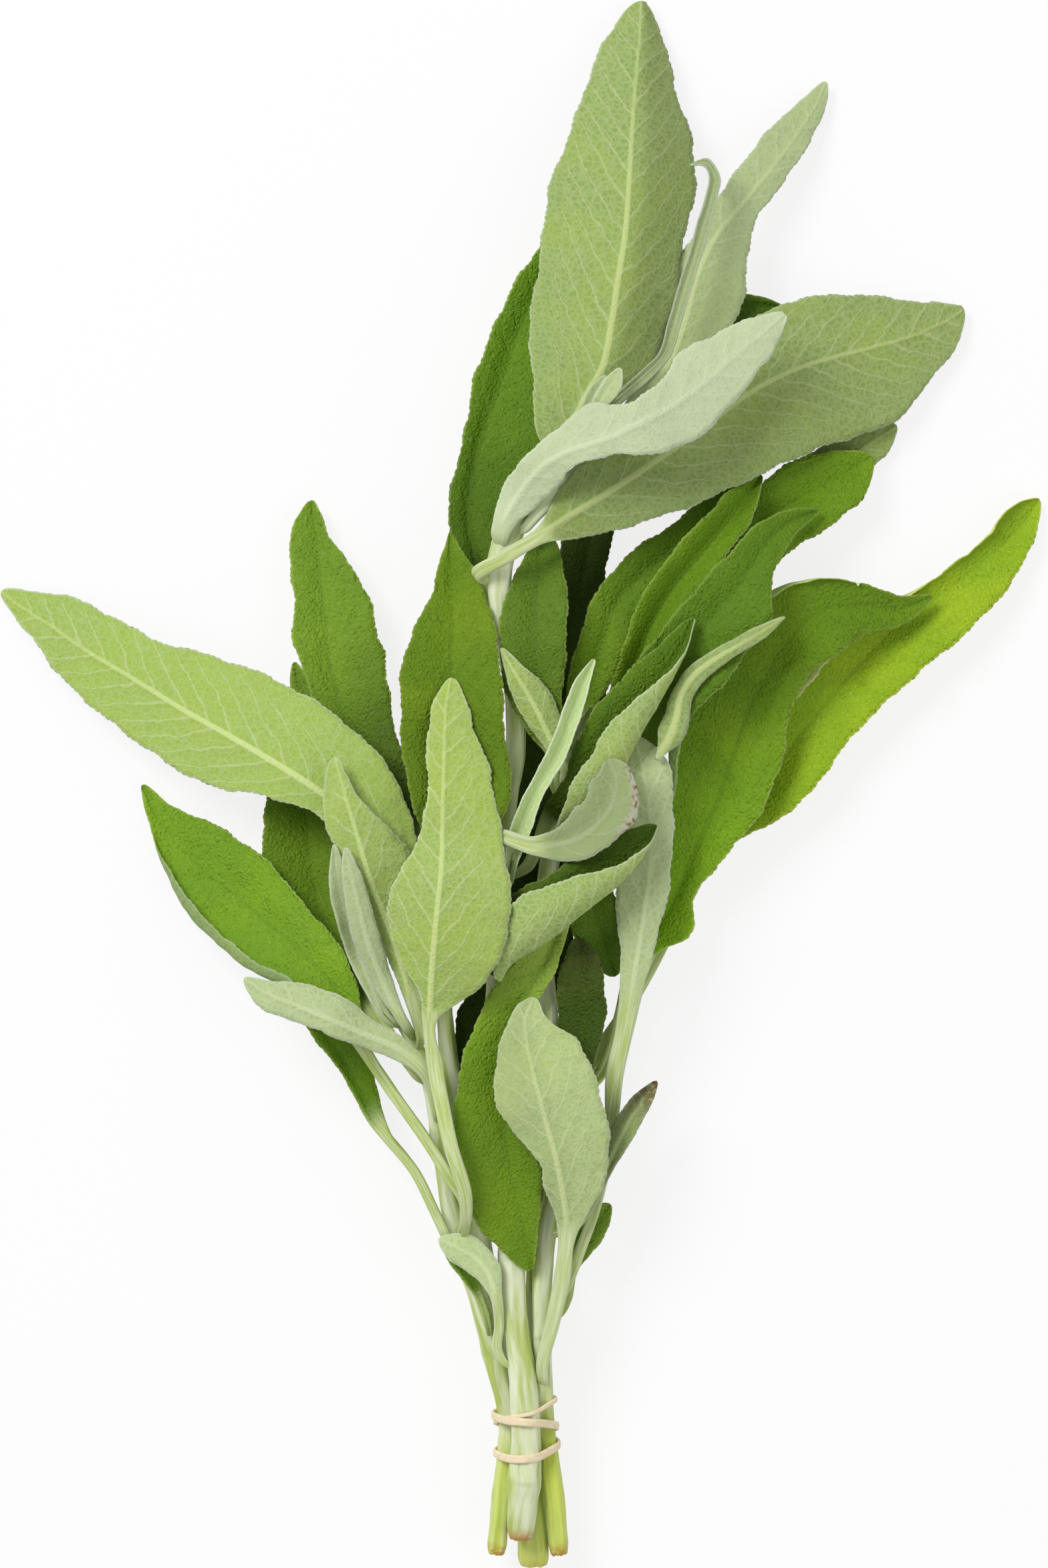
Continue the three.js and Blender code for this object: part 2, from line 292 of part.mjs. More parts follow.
/** The rows with more between those that lie far apart, so that no step is over LONGEST_STEP. */
function refine(rows) {
  const finer = [];
  for (let i = 0; i < rows.length - 1; i++) {
    const last = rows.length - 1;
    const around = [rows[Math.max(0, i - 1)], rows[i], rows[i + 1], rows[Math.min(last, i + 2)]];
    const apart = Math.hypot(rows[i + 1][0] - rows[i][0], rows[i + 1][1] - rows[i][1]);
    const parts = Math.ceil(apart / LONGEST_STEP);
    for (let k = 0; k < parts; k++) {
      finer.push(rows[i].map((_, n) => smooth(...around.map((row) => row[n]), k / parts)));
    }
  }
  finer.push([...rows[rows.length - 1]]);
  return finer;
}

/** Unit vectors across and out of the surface at each row, from the run of the row points. */
function frames(rows) {
  return rows.map((row, i) => {
    const before = rows[Math.max(0, i - 1)];
    const after = rows[Math.min(rows.length - 1, i + 1)];
    const along = new THREE.Vector3(...after.slice(0, 3)).sub(new THREE.Vector3(...before.slice(0, 3)));
    const across = new THREE.Vector3(along.y, -along.x, 0).normalize();
    return { across, out: new THREE.Vector3().crossVectors(across, along.normalize()) };
  });
}

/** A section's points, [across, out] pairs, set at a row. */
function place(row, frame, points) {
  const foot = new THREE.Vector3(row[0], row[1], row[2]);
  return points.map(([across, out]) =>
    foot.clone().addScaledVector(frame.across, across).addScaledVector(frame.out, out));
}

/** One half of a blade's section, its bend and its margin. Sign is -1 left and 1 right. */
function half(sign, reach, rise, turn) {
  const { clamp, lerp } = THREE.MathUtils;
  if (turn > 0) {
    const share = clamp((reach - PETIOLE_REACH) / (TURN_RAMP * turn), 0, 1);
    const bend = [sign * reach * lerp(MID_SHARE, 1, share), lerp(rise * MID_SHARE + CROWN, rise, share)];
    return [bend, [sign * (reach - turn * share), rise + TURN_HEIGHT * share]];
  }
  const swell = FOLD_SWELL * clamp((1 - reach) / 2, 0, 1);
  const bend = [sign * Math.max(reach * MID_SHARE, swell), rise * MID_SHARE + CROWN];
  return [bend, [sign * reach, rise]];
}

/** The point behind a bend of a section, so that both of its legs have the same thickness. */
function behind(before, bend, after, thickness) {
  const leg = (from, to) => new THREE.Vector2(to[0] - from[0], to[1] - from[1]).normalize();
  const sum = leg(before, bend).add(leg(bend, after));
  const stretch = Math.min(MOST_MITRE, 2 / sum.length());
  sum.normalize().multiplyScalar(thickness * stretch);
  return [bend[0] + sum.y, bend[1] - sum.x];
}

/** A blade's section: five points of its upper face, then three of its lower one. */
function bladeSection(row, leaf) {
  const dish = leaf.dish ?? (leaf.side === "upper" || leaf.side === "dark" ? DISH.upper : DISH.under);
  const [left, right] = [row[3], row[4]];
  const rises = row.slice(MARGIN_HEIGHTS);
  const [riseLeft, riseRight] = rises.length ? rises : [dish * left, dish * right];
  const turn = leaf.turn ?? [0, 0];
  const [bendLeft, marginLeft] = half(-1, left, riseLeft, turn[0]);
  const [bendRight, marginRight] = half(1, right, riseRight, turn[1]);
  const face = [marginLeft, bendLeft, [0, 0], bendRight, marginRight];
  const under = [1, 2, 3].map((i) => behind(face[i - 1], face[i], face[i + 1],
    i === 2 ? RIB_THICKNESS : BLADE_THICKNESS));
  return [...face, ...under.reverse()];
}

/** A leaf's rings of eight points, and its tip. */
function leafRings(leaf) {
  const rows = refine(leaf.rows.map((row) => completeRow(row, leaf)));
  const at = frames(rows);
  const rings = rows.slice(0, -1).map((row, i) => place(row, at[i], bladeSection(row, leaf)));
  const [x, y, z] = rows[rows.length - 1];
  return [...rings, [new THREE.Vector3(x, y, z)]];
}

/** A row of a leaf that has heights of its margins somewhere, with level ones written out. */
function completeRow(row, leaf) {
  const hasHeights = leaf.rows.some((other) => other.length > MARGIN_HEIGHTS);
  return hasHeights && row.length <= MARGIN_HEIGHTS ? [...row, 0, 0] : row;
}

/** A stem's rings: a square with its corners rounded off. */
function stemRings(stem) {
  const rows = refine(stem.rows);
  const at = frames(rows);
  return rows.map((row, i) => {
    const points = Array.from({ length: RING_CORNERS }, (_, k) => {
      const angle = Math.PI - (k * 2 * Math.PI) / RING_CORNERS;
      const radius = row[3] * (k % 2 ? 1 : STEM_FLAT);
      return [radius * Math.cos(angle), radius * Math.sin(angle)];
    });
    return place(row, at[i], points);
  });
}

// ---- rings to solids -----------------------------------------------------------------------

/** Triangles between rings, [ring, corner] triples, with the first ring and a blunt end closed. */
function faces(rings) {
  const list = [];
  const corners = rings[0].length;
  for (let i = 0; i < rings.length - 1; i++) {
    for (let k = 0; k < corners; k++) {
      const next = (k + 1) % corners;
      if (rings[i + 1].length === 1) {
        list.push([[i, k], [i, next], [i + 1, 0]]);
        continue;
      }
      list.push([[i, k], [i, next], [i + 1, k]], [[i, next], [i + 1, next], [i + 1, k]]);
    }
  }
  const last = rings.length - 1;
  for (let k = 1; k < corners - 1; k++) {
    const [here, next] = [(CAP_CORNER + k) % corners, (CAP_CORNER + k + 1) % corners];
    list.push([[0, CAP_CORNER], [0, next], [0, here]]);
    if (rings[last].length > 1) list.push([[last, CAP_CORNER], [last, here], [last, next]]);
  }
  return list;
}

/** A named mesh of the triangles between rings. */
function solid(name, rings, triangles, finish) {
  const starts = [];
  const positions = [];
  for (const ring of rings) {
    starts.push(positions.length / 3);
    ring.forEach((point) => positions.push(point.x, point.y, point.z));
  }
  const geometry = new THREE.BufferGeometry();
  geometry.setAttribute("position", new THREE.Float32BufferAttribute(positions, 3));
  geometry.setIndex(triangles.flat().map(([ring, corner]) => starts[ring] + corner));
  geometry.computeVertexNormals();
  const mesh = new THREE.Mesh(geometry, new THREE.MeshStandardMaterial({ metalness: 0, ...finish }));
  mesh.name = name;
  return mesh;
}

// ---- laying the pieces on each other -------------------------------------------------------

/** The heights of what has been laid so far, on a square grid seen from above. */
class Heap {
  constructor() {
    this.across = Math.round((2 * SHEET.x) / SAMPLE);
    this.along = Math.round((2 * SHEET.y) / SAMPLE);
    this.heights = new Float32Array(this.across * this.along).fill(-AIR);
  }

  /** Calls visit(cell, height) for every grid point under a triangle. */
  under([a, b, c], visit) {
    const area = (b.x - a.x) * (c.y - a.y) - (b.y - a.y) * (c.x - a.x);
    if (Math.abs(area) < EDGE_ON) return;
    const cell = (value, size) => (value + size) / SAMPLE;
    const xs = [a.x, b.x, c.x].map((x) => cell(x, SHEET.x));
    const ys = [a.y, b.y, c.y].map((y) => cell(y, SHEET.y));
    for (let i = Math.floor(Math.min(...xs)); i <= Math.ceil(Math.max(...xs)); i++) {
      for (let j = Math.floor(Math.min(...ys)); j <= Math.ceil(Math.max(...ys)); j++) {
        const x = i * SAMPLE - SHEET.x;
        const y = j * SAMPLE - SHEET.y;
        const v = ((x - a.x) * (c.y - a.y) - (y - a.y) * (c.x - a.x)) / area;
        const w = ((b.x - a.x) * (y - a.y) - (b.y - a.y) * (x - a.x)) / area;
        if (v < -RIM || w < -RIM || v + w > 1 + RIM) continue;
        visit(i, j, a.z + v * (b.z - a.z) + w * (c.z - a.z));
      }
    }
  }

  /** Adds a piece: each height is the highest of the piece within one grid step. */
  add(rings, triangles) {
    for (const triangle of triangles) {
      this.under(triangle.map(([ring, k]) => rings[ring][k]), (i, j, height) => {
        for (let di = -1; di <= 1; di++) {
          for (let dj = -1; dj <= 1; dj++) {
            const at = (i + di) * this.along + j + dj;
            this.heights[at] = Math.max(this.heights[at], height);
          }
        }
      });
    }
  }

  /** How far each ring has to rise for the faces beside it to clear the heap. */
  needs(rings, triangles) {
    const needs = rings.map(() => 0);
    for (const triangle of triangles) {
      let most = 0;
      this.under(triangle.map(([ring, k]) => rings[ring][k]), (i, j, height) => {
        most = Math.max(most, this.heights[i * this.along + j] + AIR - height);
      });
      triangle.forEach(([ring]) => (needs[ring] = Math.max(needs[ring], most)));
    }
    return needs;
  }
}

/** Raises rings until they clear the heap, each by little more or less than the ring before. */
function settle(rings, triangles, heap) {
  for (let round = 0; round < LAYING_ROUNDS; round++) {
    const lifts = heap.needs(rings, triangles);
    const ease = (i, j) => {
      const run = Math.hypot(rings[i][0].x - rings[j][0].x, rings[i][0].y - rings[j][0].y);
      lifts[i] = Math.max(lifts[i], lifts[j] - STEEPEST * run);
    };
    for (let i = 1; i < rings.length; i++) ease(i, i - 1);
    for (let i = rings.length - 2; i >= 0; i--) ease(i, i + 1);
    rings.forEach((ring, i) => ring.forEach((point) => (point.z += lifts[i])));
  }
}

// ---- the rubber band -----------------------------------------------------------------------

/** The band: one closed loop wound twice, its turns crossing under the right of the stems. */
function bandRings() {
  const turns = 2;
  const radius = BAND.thickness / 2;
  const centres = Array.from({ length: BAND.steps }, (_, i) => {
    const angle = (i / BAND.steps) * turns * 2 * Math.PI; // 0 is the left side, then over the top
    const wander = (angle - BAND.crossing) / turns;
    const crossing = Math.max(0, Math.cos(wander - (3 * Math.PI) / 2)) ** BAND.bump;
    const out = 1 + (crossing * (BAND.thickness + AIR)) / BAND.halfWidth;
    return new THREE.Vector3(
      BAND.centre.x - BAND.halfWidth * out * Math.cos(angle),
      BAND.centre.y + BAND.spread * Math.cos(wander),
      BAND.centre.z + BAND.halfHeight * out * Math.sin(angle),
    );
  });
  return centres.map((centre, i) => {
    const before = centres[(i + BAND.steps - 1) % BAND.steps];
    const after = centres[(i + 1) % BAND.steps];
    const along = after.clone().sub(before).normalize();
    const outward = centre.clone().sub(new THREE.Vector3(BAND.centre.x, centre.y, BAND.centre.z));
    outward.addScaledVector(along, -outward.dot(along)).normalize();
    const across = new THREE.Vector3().crossVectors(along, outward);
    return Array.from({ length: BAND.corners }, (_, k) => {
      const turn = (k * 2 * Math.PI) / BAND.corners;
      return centre.clone()
        .addScaledVector(outward, radius * Math.cos(turn))
        .addScaledVector(across, radius * Math.sin(turn));
    });
  });
}

/** Triangles of a closed loop of rings. */
function loopFaces(rings) {
  const list = [];
  rings.forEach((ring, i) => {
    const ahead = (i + 1) % rings.length;
    ring.forEach((_, k) => {
      const next = (k + 1) % ring.length;
      list.push([[i, k], [i, next], [ahead, k]], [[i, next], [ahead, next], [ahead, k]]);
    });
  });
  return list;
}

// ---- the bunch -----------------------------------------------------------------------------

/** Lays the leaves and stems from the lowest up, and puts the band round the stems. */
function bunch() {
  const group = new THREE.Group();
  const heap = new Heap(); // leaves and stems
  const litter = new Heap(); // leaves alone, which is all that a stem gives way to
  for (const leaf of LEAVES) {
    const rings = leafRings(leaf);
    const triangles = faces(rings);
    settle(rings, triangles, heap);
    heap.add(rings, triangles);
    litter.add(rings, triangles);
    group.add(solid(leaf.name, rings, triangles, GREENS[leaf.side]));
    for (const stem of STEMS.filter(({ after }) => after === leaf.name)) {
      const stemRing = stemRings(stem);
      const stemFaces = faces(stemRing);
      settle(stemRing, stemFaces, litter);
      heap.add(stemRing, stemFaces);
      group.add(solid(stem.name, stemRing, stemFaces, GREENS.stem));
    }
  }
  const band = bandRings();
  group.add(solid("rubber_band", band, loopFaces(band), GREENS.band));
  const box = new THREE.Box3().setFromObject(group);
  const middle = box.getCenter(new THREE.Vector3());
  group.position.set(-middle.x, -middle.y, -box.min.z);
  return group;
}

export default bunch();
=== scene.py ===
"""A bunch of cut sage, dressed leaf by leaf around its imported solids.

Every leaf is read from its own solid as a row of stations, then rebuilt as a thin blade with
toothed margins, a midrib and side veins. The stems and the rubber band follow their solids too.
"""

import json
import logging
import math
from dataclasses import dataclass, field
from enum import Enum
from typing import Optional, Sequence, Union

import bpy
import numpy as np
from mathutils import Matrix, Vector

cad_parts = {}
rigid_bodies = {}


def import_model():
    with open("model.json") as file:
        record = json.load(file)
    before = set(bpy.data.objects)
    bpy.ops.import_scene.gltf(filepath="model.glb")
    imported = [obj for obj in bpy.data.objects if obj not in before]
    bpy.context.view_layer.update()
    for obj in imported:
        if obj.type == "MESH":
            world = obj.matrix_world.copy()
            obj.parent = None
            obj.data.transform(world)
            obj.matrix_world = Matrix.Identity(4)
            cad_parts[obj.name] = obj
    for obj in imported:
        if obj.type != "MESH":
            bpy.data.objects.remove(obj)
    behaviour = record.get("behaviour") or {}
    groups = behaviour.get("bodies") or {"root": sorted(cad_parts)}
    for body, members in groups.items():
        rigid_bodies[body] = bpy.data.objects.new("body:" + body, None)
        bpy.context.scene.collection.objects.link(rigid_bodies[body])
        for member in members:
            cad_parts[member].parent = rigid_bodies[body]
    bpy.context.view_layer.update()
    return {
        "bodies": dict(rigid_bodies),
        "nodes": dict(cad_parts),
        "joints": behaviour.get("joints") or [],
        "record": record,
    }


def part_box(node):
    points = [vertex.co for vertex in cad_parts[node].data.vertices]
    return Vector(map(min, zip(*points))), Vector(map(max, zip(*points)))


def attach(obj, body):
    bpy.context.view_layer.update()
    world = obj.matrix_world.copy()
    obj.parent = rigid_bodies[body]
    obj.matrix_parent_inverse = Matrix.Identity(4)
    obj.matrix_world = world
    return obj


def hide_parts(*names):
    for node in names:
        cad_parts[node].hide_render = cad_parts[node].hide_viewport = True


LOG = logging.getLogger("sage")
MM = 0.001

Colour = tuple[float, float, float]
Socket = bpy.types.NodeSocket
Value = Union[float, Colour, Socket]


# ---- reading the solids ---------------------------------------------------------------------


class Solid:
    """A CAD node's faces, with the vertices that lie on each other merged."""

    def __init__(self, node: bpy.types.Object) -> None:
        """Reads the mesh of a CAD node.

        Args:
            node: the node's object, which is only read.
        """
        mesh = node.data
        flat = np.empty(len(mesh.vertices) * 3, np.float32)
        mesh.vertices.foreach_get("co", flat)
        points = flat.reshape(-1, 3).astype(float)
        microns = np.round(points * 1e6).astype(np.int64)
        _, first, where = np.unique(microns, axis=0, return_index=True, return_inverse=True)
        mesh.calc_loop_triangles()
        corners = np.empty(len(mesh.loop_triangles) * 3, np.int32)
        mesh.loop_triangles.foreach_get("vertices", corners)
        self.points = points[first]
        merged = where.reshape(-1)[corners].reshape(-1, 3)
        self.faces = [tuple(int(v) for v in face) for face in merged]
        self.beside: list[set[int]] = [set() for _ in self.points]
        for a, b, c in self.faces:
            self.beside[a] |= {b, c}
            self.beside[b] |= {a, c}
            self.beside[c] |= {a, b}

    def layers(self, start: set[int]) -> list[set[int]]:
        """Sorts the vertices by how many edges they lie from a start.

        Args:
            start: the vertices of the first layer.

        Returns:
            The layers, from the start outwards.
        """
        found, seen = [set(start)], set(start)
        while found[-1]:
            found.append({n for v in found[-1] for n in self.beside[v]} - seen)
            seen |= found[-1]
        return found[:-1]


@dataclass
class Stations:
    """The cross sections that a leaf's solid is made of, from its foot to its tip."""

    upper: np.ndarray
    """(stations, 5, 3): left margin, left bend, rib, right bend, right margin."""

    CORNERS = 8
    UPPER = 5

    @classmethod
    def read(cls, solid: Solid) -> "Stations":
        """Finds the stations of a leaf: its tip is a fan, and its rings lie in layers behind it.

        Args:
            solid: the leaf's solid.

        Returns:
            The leaf's stations. The tip is the last one, with its five points together.
        """
        for tip, beside in enumerate(solid.beside):
            rings = solid.layers({tip})[:0:-1] if len(beside) == cls.CORNERS else []
            if len(rings) > 1 and all(len(ring) == cls.CORNERS for ring in rings):
                following, _ = cls._links(solid, rings[0], rings[1])
                if len(following) == cls.CORNERS:
                    break
        else:
            raise ValueError("no tip found")
        ring = [next(iter(following))]
        while len(ring) < cls.CORNERS:
            ring.append(following[ring[-1]])
        tracks = [ring]
        for here, there in zip(rings, rings[1:]):
            _, ahead = cls._links(solid, here, there)
            tracks.append([ahead[v] for v in tracks[-1]])
        points = solid.points[np.array(tracks)]
        half, quarter = cls.CORNERS // 2, cls.CORNERS // 4
        # a fan closes the foot from the rib's lower edge; without one, the margins lie furthest
        # apart, and the rib's upper edge lies above its lower one
        hubs = [k for k, v in enumerate(ring) if rings[0] - {v} <= solid.beside[v]]
        widths = np.linalg.norm(points - np.roll(points, half, axis=1), axis=2).sum(0)
        leans = np.roll(points, -quarter, axis=1) - np.roll(points, quarter, axis=1)
        heights = leans[..., 2].sum(0)
        if len(hubs) == 1:
            margin = (hubs[0] + quarter) % cls.CORNERS
        else:
            margin = max(range(cls.CORNERS), key=lambda k: (round(float(widths[k]), 9), heights[k]))
        upper = np.roll(points, -margin, axis=1)[:, : cls.UPPER]
        return cls(np.concatenate([upper, np.tile(solid.points[tip], (1, cls.UPPER, 1))]))

    @staticmethod
    def _links(solid: Solid, here: set[int], there: set[int]) -> tuple[dict, dict]:
        """Links two neighbouring rings.

        Args:
            solid: the leaf's solid.
            here: the ring nearer the foot.
            there: the ring nearer the tip.

        Returns:
            The vertex that follows each one of `here`, and the one ahead of it in `there`.
        """
        following, ahead = {}, {}
        for face in solid.faces:
            for turn in range(3):
                p, q, r = face[turn:] + face[:turn]
                if p in here and q in here and r in there:
                    following[p], ahead[p] = q, r
        return following, ahead


@dataclass
class Spine:
    """The middle line of a stem's solid and its radius along it."""

    centres: np.ndarray
    radii: np.ndarray

    CORNERS = 8

    @classmethod
    def read(cls, solid: Solid) -> "Spine":
        """Finds the rings of a stem, starting with the one at its cut end.

        Args:
            solid: the stem's solid.

        Returns:
            The stem's middle line, from its cut end up.
        """
        lowest = np.argsort(solid.points[:, 1])[: cls.CORNERS]
        rings = [solid.points[sorted(layer)] for layer in solid.layers({int(v) for v in lowest})]
        centres = np.array([ring.mean(0) for ring in rings])
        radii = np.array([np.linalg.norm(r - c, axis=1).mean() for r, c in zip(rings, centres)])
        return cls(centres, radii)

    def nearest(self, point: np.ndarray) -> tuple[np.ndarray, np.ndarray]:
        """Finds the place on the middle line that lies nearest to a point.

        Args:
            point: the point.

        Returns:
            The place, and the direction there towards the stem's top.
        """
        best: tuple = (math.inf,)
        for a, b in zip(self.centres, self.centres[1:]):
            share = float(np.clip((point - a) @ (b - a) / ((b - a) @ (b - a)), 0, 1))
            place = a + share * (b - a)
            away = float(np.linalg.norm(point - place))
            if away < best[0]:
                best = (away, place, unit(b - a))
        return best[1:]


# ---- curves and grids -----------------------------------------------------------------------


def unit(vector: np.ndarray) -> np.ndarray:
    """Scales a vector, or each one of a row of them, to length 1."""
    return vector / np.maximum(np.linalg.norm(vector, axis=-1, keepdims=True), 1e-12)


def spline(knots: np.ndarray, values: np.ndarray, at: np.ndarray) -> np.ndarray:
    """Runs a smooth curve through values.

    Args:
        knots: where the values stand, rising.
        values: one value, or array of values, for each knot.
        at: where the curve is wanted.

    Returns:
        The curve's values, along the first axis.
    """
    flat = values.reshape(len(knots), -1)
    gaps = np.diff(knots)
    slopes = np.diff(flat, axis=0) / gaps[:, None]
    ends = np.vstack([slopes[:1], slopes, slopes[-1:]])
    weight = np.concatenate([[1], gaps, [1]])
    tangents = (ends[:-1] * weight[1:, None] + ends[1:] * weight[:-1, None]) / (
        weight[1:] + weight[:-1]
    )[:, None]
    cell = np.clip(np.searchsorted(knots, at, side="right") - 1, 0, len(gaps) - 1)
    h = gaps[cell][:, None]
    t = ((at - knots[cell]) / gaps[cell])[:, None]
    curve = (
        flat[cell] * (2 * t**3 - 3 * t**2 + 1)
        + h * tangents[cell] * (t**3 - 2 * t**2 + t)
        + flat[cell + 1] * (3 * t**2 - 2 * t**3)
        + h * tangents[cell + 1] * (t**3 - t**2)
    )
    return curve.reshape((len(at),) + values.shape[1:])


def ramp(low: float, high: float, value: np.ndarray) -> np.ndarray:
    """Rises smoothly from 0 at low to 1 at high."""
    share = np.clip((value - low) / (high - low), 0, 1)
    return share * share * (3 - 2 * share)


def wander(rng: np.random.Generator, at: np.ndarray, wavelength: float) -> np.ndarray:
    """Makes a smooth irregular line.

    Args:
        rng: where the irregularity comes from.
        at: the places along the line.
        wavelength: about how far apart its crests lie.

    Returns:
        Heights of about -1 to 1.
    """
    total = np.zeros_like(at)
    for share, weight in ((1.0, 0.6), (0.43, 0.3), (0.21, 0.15)):
        length = wavelength * share * rng.uniform(0.85, 1.15)
        total += weight * np.sin(2 * np.pi * at / length + rng.uniform(0, 6.28))
    return total


def lengths(line: np.ndarray) -> np.ndarray:
    """How far along a line each of its points lies."""
    return np.concatenate([[0], np.cumsum(np.linalg.norm(np.diff(line, axis=0), axis=1))])


def weave(rings: int, around: int, closed: bool = False) -> list[tuple[int, ...]]:
    """Joins rings of points with four-sided faces.

    Args:
        rings: how many rings there are.
        around: how many points each ring has.
        closed: whether the last ring meets the first one.

    Returns:
        The faces. Each one begins with its own ring and ends with the next.
    """
    return [(i * around + k, i * around + (k + 1) % around,
             (i + 1) % rings * around + (k + 1) % around, (i + 1) % rings * around + k)
            for i in range(rings if closed else rings - 1) for k in range(around)]


@dataclass
class Skin:
    """The vertices, faces and surface data of a piece while it is being made."""

    points: np.ndarray
    faces: list[tuple[int, ...]]
    blade: Optional[np.ndarray] = None
    """(vertices, 2): across and along the surface, in millimetres."""
    marks: dict[str, np.ndarray] = field(default_factory=dict)
    """One number for each vertex, under each name."""
    kinds: Optional[Sequence[int]] = None
    """The material of each face."""

    def build(self, name: str, materials: Sequence[bpy.types.Material]) -> bpy.types.Object:
        """Makes the piece's object.

        Args:
            name: the piece's name.
            materials: its materials, in the order that `kinds` counts them.

        Returns:
            The object, in the scene.
        """
        mesh = bpy.data.meshes.new(name)
        mesh.from_pydata(self.points.tolist(), [], self.faces)
        for material in materials:
            mesh.materials.append(material)
        if self.kinds is not None:
            mesh.polygons.foreach_set("material_index", list(self.kinds))
        mesh.polygons.foreach_set("use_smooth", [True] * len(mesh.polygons))
        if self.blade is not None:
            corners = np.empty(len(mesh.loops), np.int32)
            mesh.loops.foreach_get("vertex_index", corners)
            layer = mesh.uv_layers.new(name=Nodes.BLADE)
            layer.data.foreach_set("uv", self.blade[corners].astype(np.float32).reshape(-1))
        for mark, values in self.marks.items():
            attribute = mesh.attributes.new(mark, "FLOAT", "POINT")
            attribute.data.foreach_set("value", values.astype(np.float32))
        mesh.update()
        piece = bpy.data.objects.new(name, mesh)
        bpy.context.scene.collection.objects.link(piece)
        return piece


# ---- node helper ----------------------------------------------------------------------------


class Nodes:
    """Writes a material's nodes as sums."""

    BLADE = "blade"

    def __init__(self, name: str) -> None:
        """Starts a material.

        Args:
            name: the material's name.
        """
        self.material = bpy.data.materials.new(name)
        self.material.use_nodes = True
        self.tree = self.material.node_tree
        self.tree.nodes.clear()

    def add(self, kind: str, **settings: object) -> bpy.types.Node:
        """Adds a node.

        Args:
            kind: the node's type.
            settings: properties to set on it.

        Returns:
            The node.
        """
        node = self.tree.nodes.new(kind)
        for key, value in settings.items():
            setattr(node, key, value)
        return node

    def put(self, socket: Socket, value: Value) -> None:
        """Links a socket to another, or sets it to a number or colour.

        Args:
            socket: the socket that takes the value.
            value: the value.
        """
        if isinstance(value, bpy.types.NodeSocket):
            self.tree.links.new(value, socket)
        elif isinstance(value, tuple) and len(socket.default_value) == 4:
            socket.default_value = (*value, 1.0)
        else:
            socket.default_value = value

    def math(self, operation: str, *values: Value, clamp: bool = False) -> Socket:
        """Adds a sum.

        Args:
            operation: the Math node's operation.
            values: what it works on.
            clamp: whether the result is held from 0 to 1.

        Returns:
            The result.
        """
        node = self.add("ShaderNodeMath", operation=operation, use_clamp=clamp)
        for socket, value in zip(node.inputs, values):
            self.put(socket, value)
        return node.outputs[0]

    def times(self, first: Value, second: Value) -> Socket:
        """The product of two numbers."""
        return self.math("MULTIPLY", first, second)

    def plus(self, first: Value, second: Value) -> Socket:
        """The sum of two numbers."""
        return self.math("ADD", first, second)

    def rest(self, value: Value) -> Socket:
        """What is missing from a number to 1."""
        return self.math("SUBTRACT", 1.0, value)

    def scaled(self, value: Value, factor: Value, offset: Value, clamp: bool = False) -> Socket:
        """A number times a factor, with an offset added, held from 0 to 1 if asked."""
        return self.math("MULTIPLY_ADD", value, factor, offset, clamp=clamp)

    def layer(self) -> Socket:
        """Reads the distances across and along the surface as one point."""
        return self.add("ShaderNodeUVMap", uv_map=self.BLADE).outputs[0]

    def distances(self) -> tuple[Socket, Socket]:
        """Reads where each place lies on the surface, in millimetres.

        Returns:
            The distance across the surface, and the one along it.
        """
        split = self.add("ShaderNodeSeparateXYZ")
        self.put(split.inputs[0], self.layer())
        return split.outputs[0], split.outputs[1]

    def mark(self, name: str) -> Socket:
        """Reads one of the piece's marks."""
        return self.add("ShaderNodeAttribute", attribute_name=name).outputs["Fac"]

    def ramp(self, value: Value, low: Value, high: Value) -> Socket:
        """Rises smoothly from 0 to 1.

        Args:
            value: the number that it follows.
            low: where it is 0.
            high: where it is 1.

        Returns:
            The result.
        """
        node = self.add("ShaderNodeMapRange", interpolation_type="SMOOTHSTEP")
        for key, entry in (("Value", value), ("From Min", low), ("From Max", high)):
            self.put(node.inputs[key], entry)
        return node.outputs["Result"]

    def mix(self, share: Value, first: Value, second: Value, blend: str = "MIX") -> Socket:
        """Mixes two colours.

        Args:
            share: how much of the second colour there is.
            first: the first colour.
            second: the second colour.
            blend: the way they mix.

        Returns:
            The mixed colour.
        """
        node = self.add("ShaderNodeMix", data_type="RGBA", blend_type=blend)
        for index, value in ((0, share), (6, first), (7, second)):
            self.put(node.inputs[index], value)
        return node.outputs[2]

    def point(self, x: Value, y: Value, z: Value) -> Socket:
        """Joins three numbers to a point.

        Args:
            x: the first number.
            y: the second number.
            z: the third number.

        Returns:
            The point.
        """
        node = self.add("ShaderNodeCombineXYZ")
        for socket, value in zip(node.inputs, (x, y, z)):
            self.put(socket, value)
        return node.outputs[0]

    def noise(self, where: Socket, scale: float, detail: float = 2.0) -> Socket:
        """Cloudy numbers from 0 to 1.

        Args:
            where: the place that they are read at.
            scale: how many clouds there are to a unit of it.
            detail: how many finer layers they have.

        Returns:
            The numbers.
        """
        node = self.add("ShaderNodeTexNoise")
        self.put(node.inputs["Vector"], where)
        self.put(node.inputs["Scale"], scale)
        self.put(node.inputs["Detail"], detail)
        return node.outputs["Fac"]

    def cells(self, where: Socket, scale: float, edges: bool = False) -> Socket:
        """Distances in a pattern of cells.

        Args:
            where: the place that they are read at.
            scale: how many cells there are to a unit of it.
            edges: whether the distance is to a cell's edge, and not to its middle.

        Returns:
            The distances, in cells.
        """
        node = self.add("ShaderNodeTexVoronoi", feature="DISTANCE_TO_EDGE" if edges else "F1")
        self.put(node.inputs["Vector"], where)
        self.put(node.inputs["Scale"], scale)
        return node.outputs["Distance"]

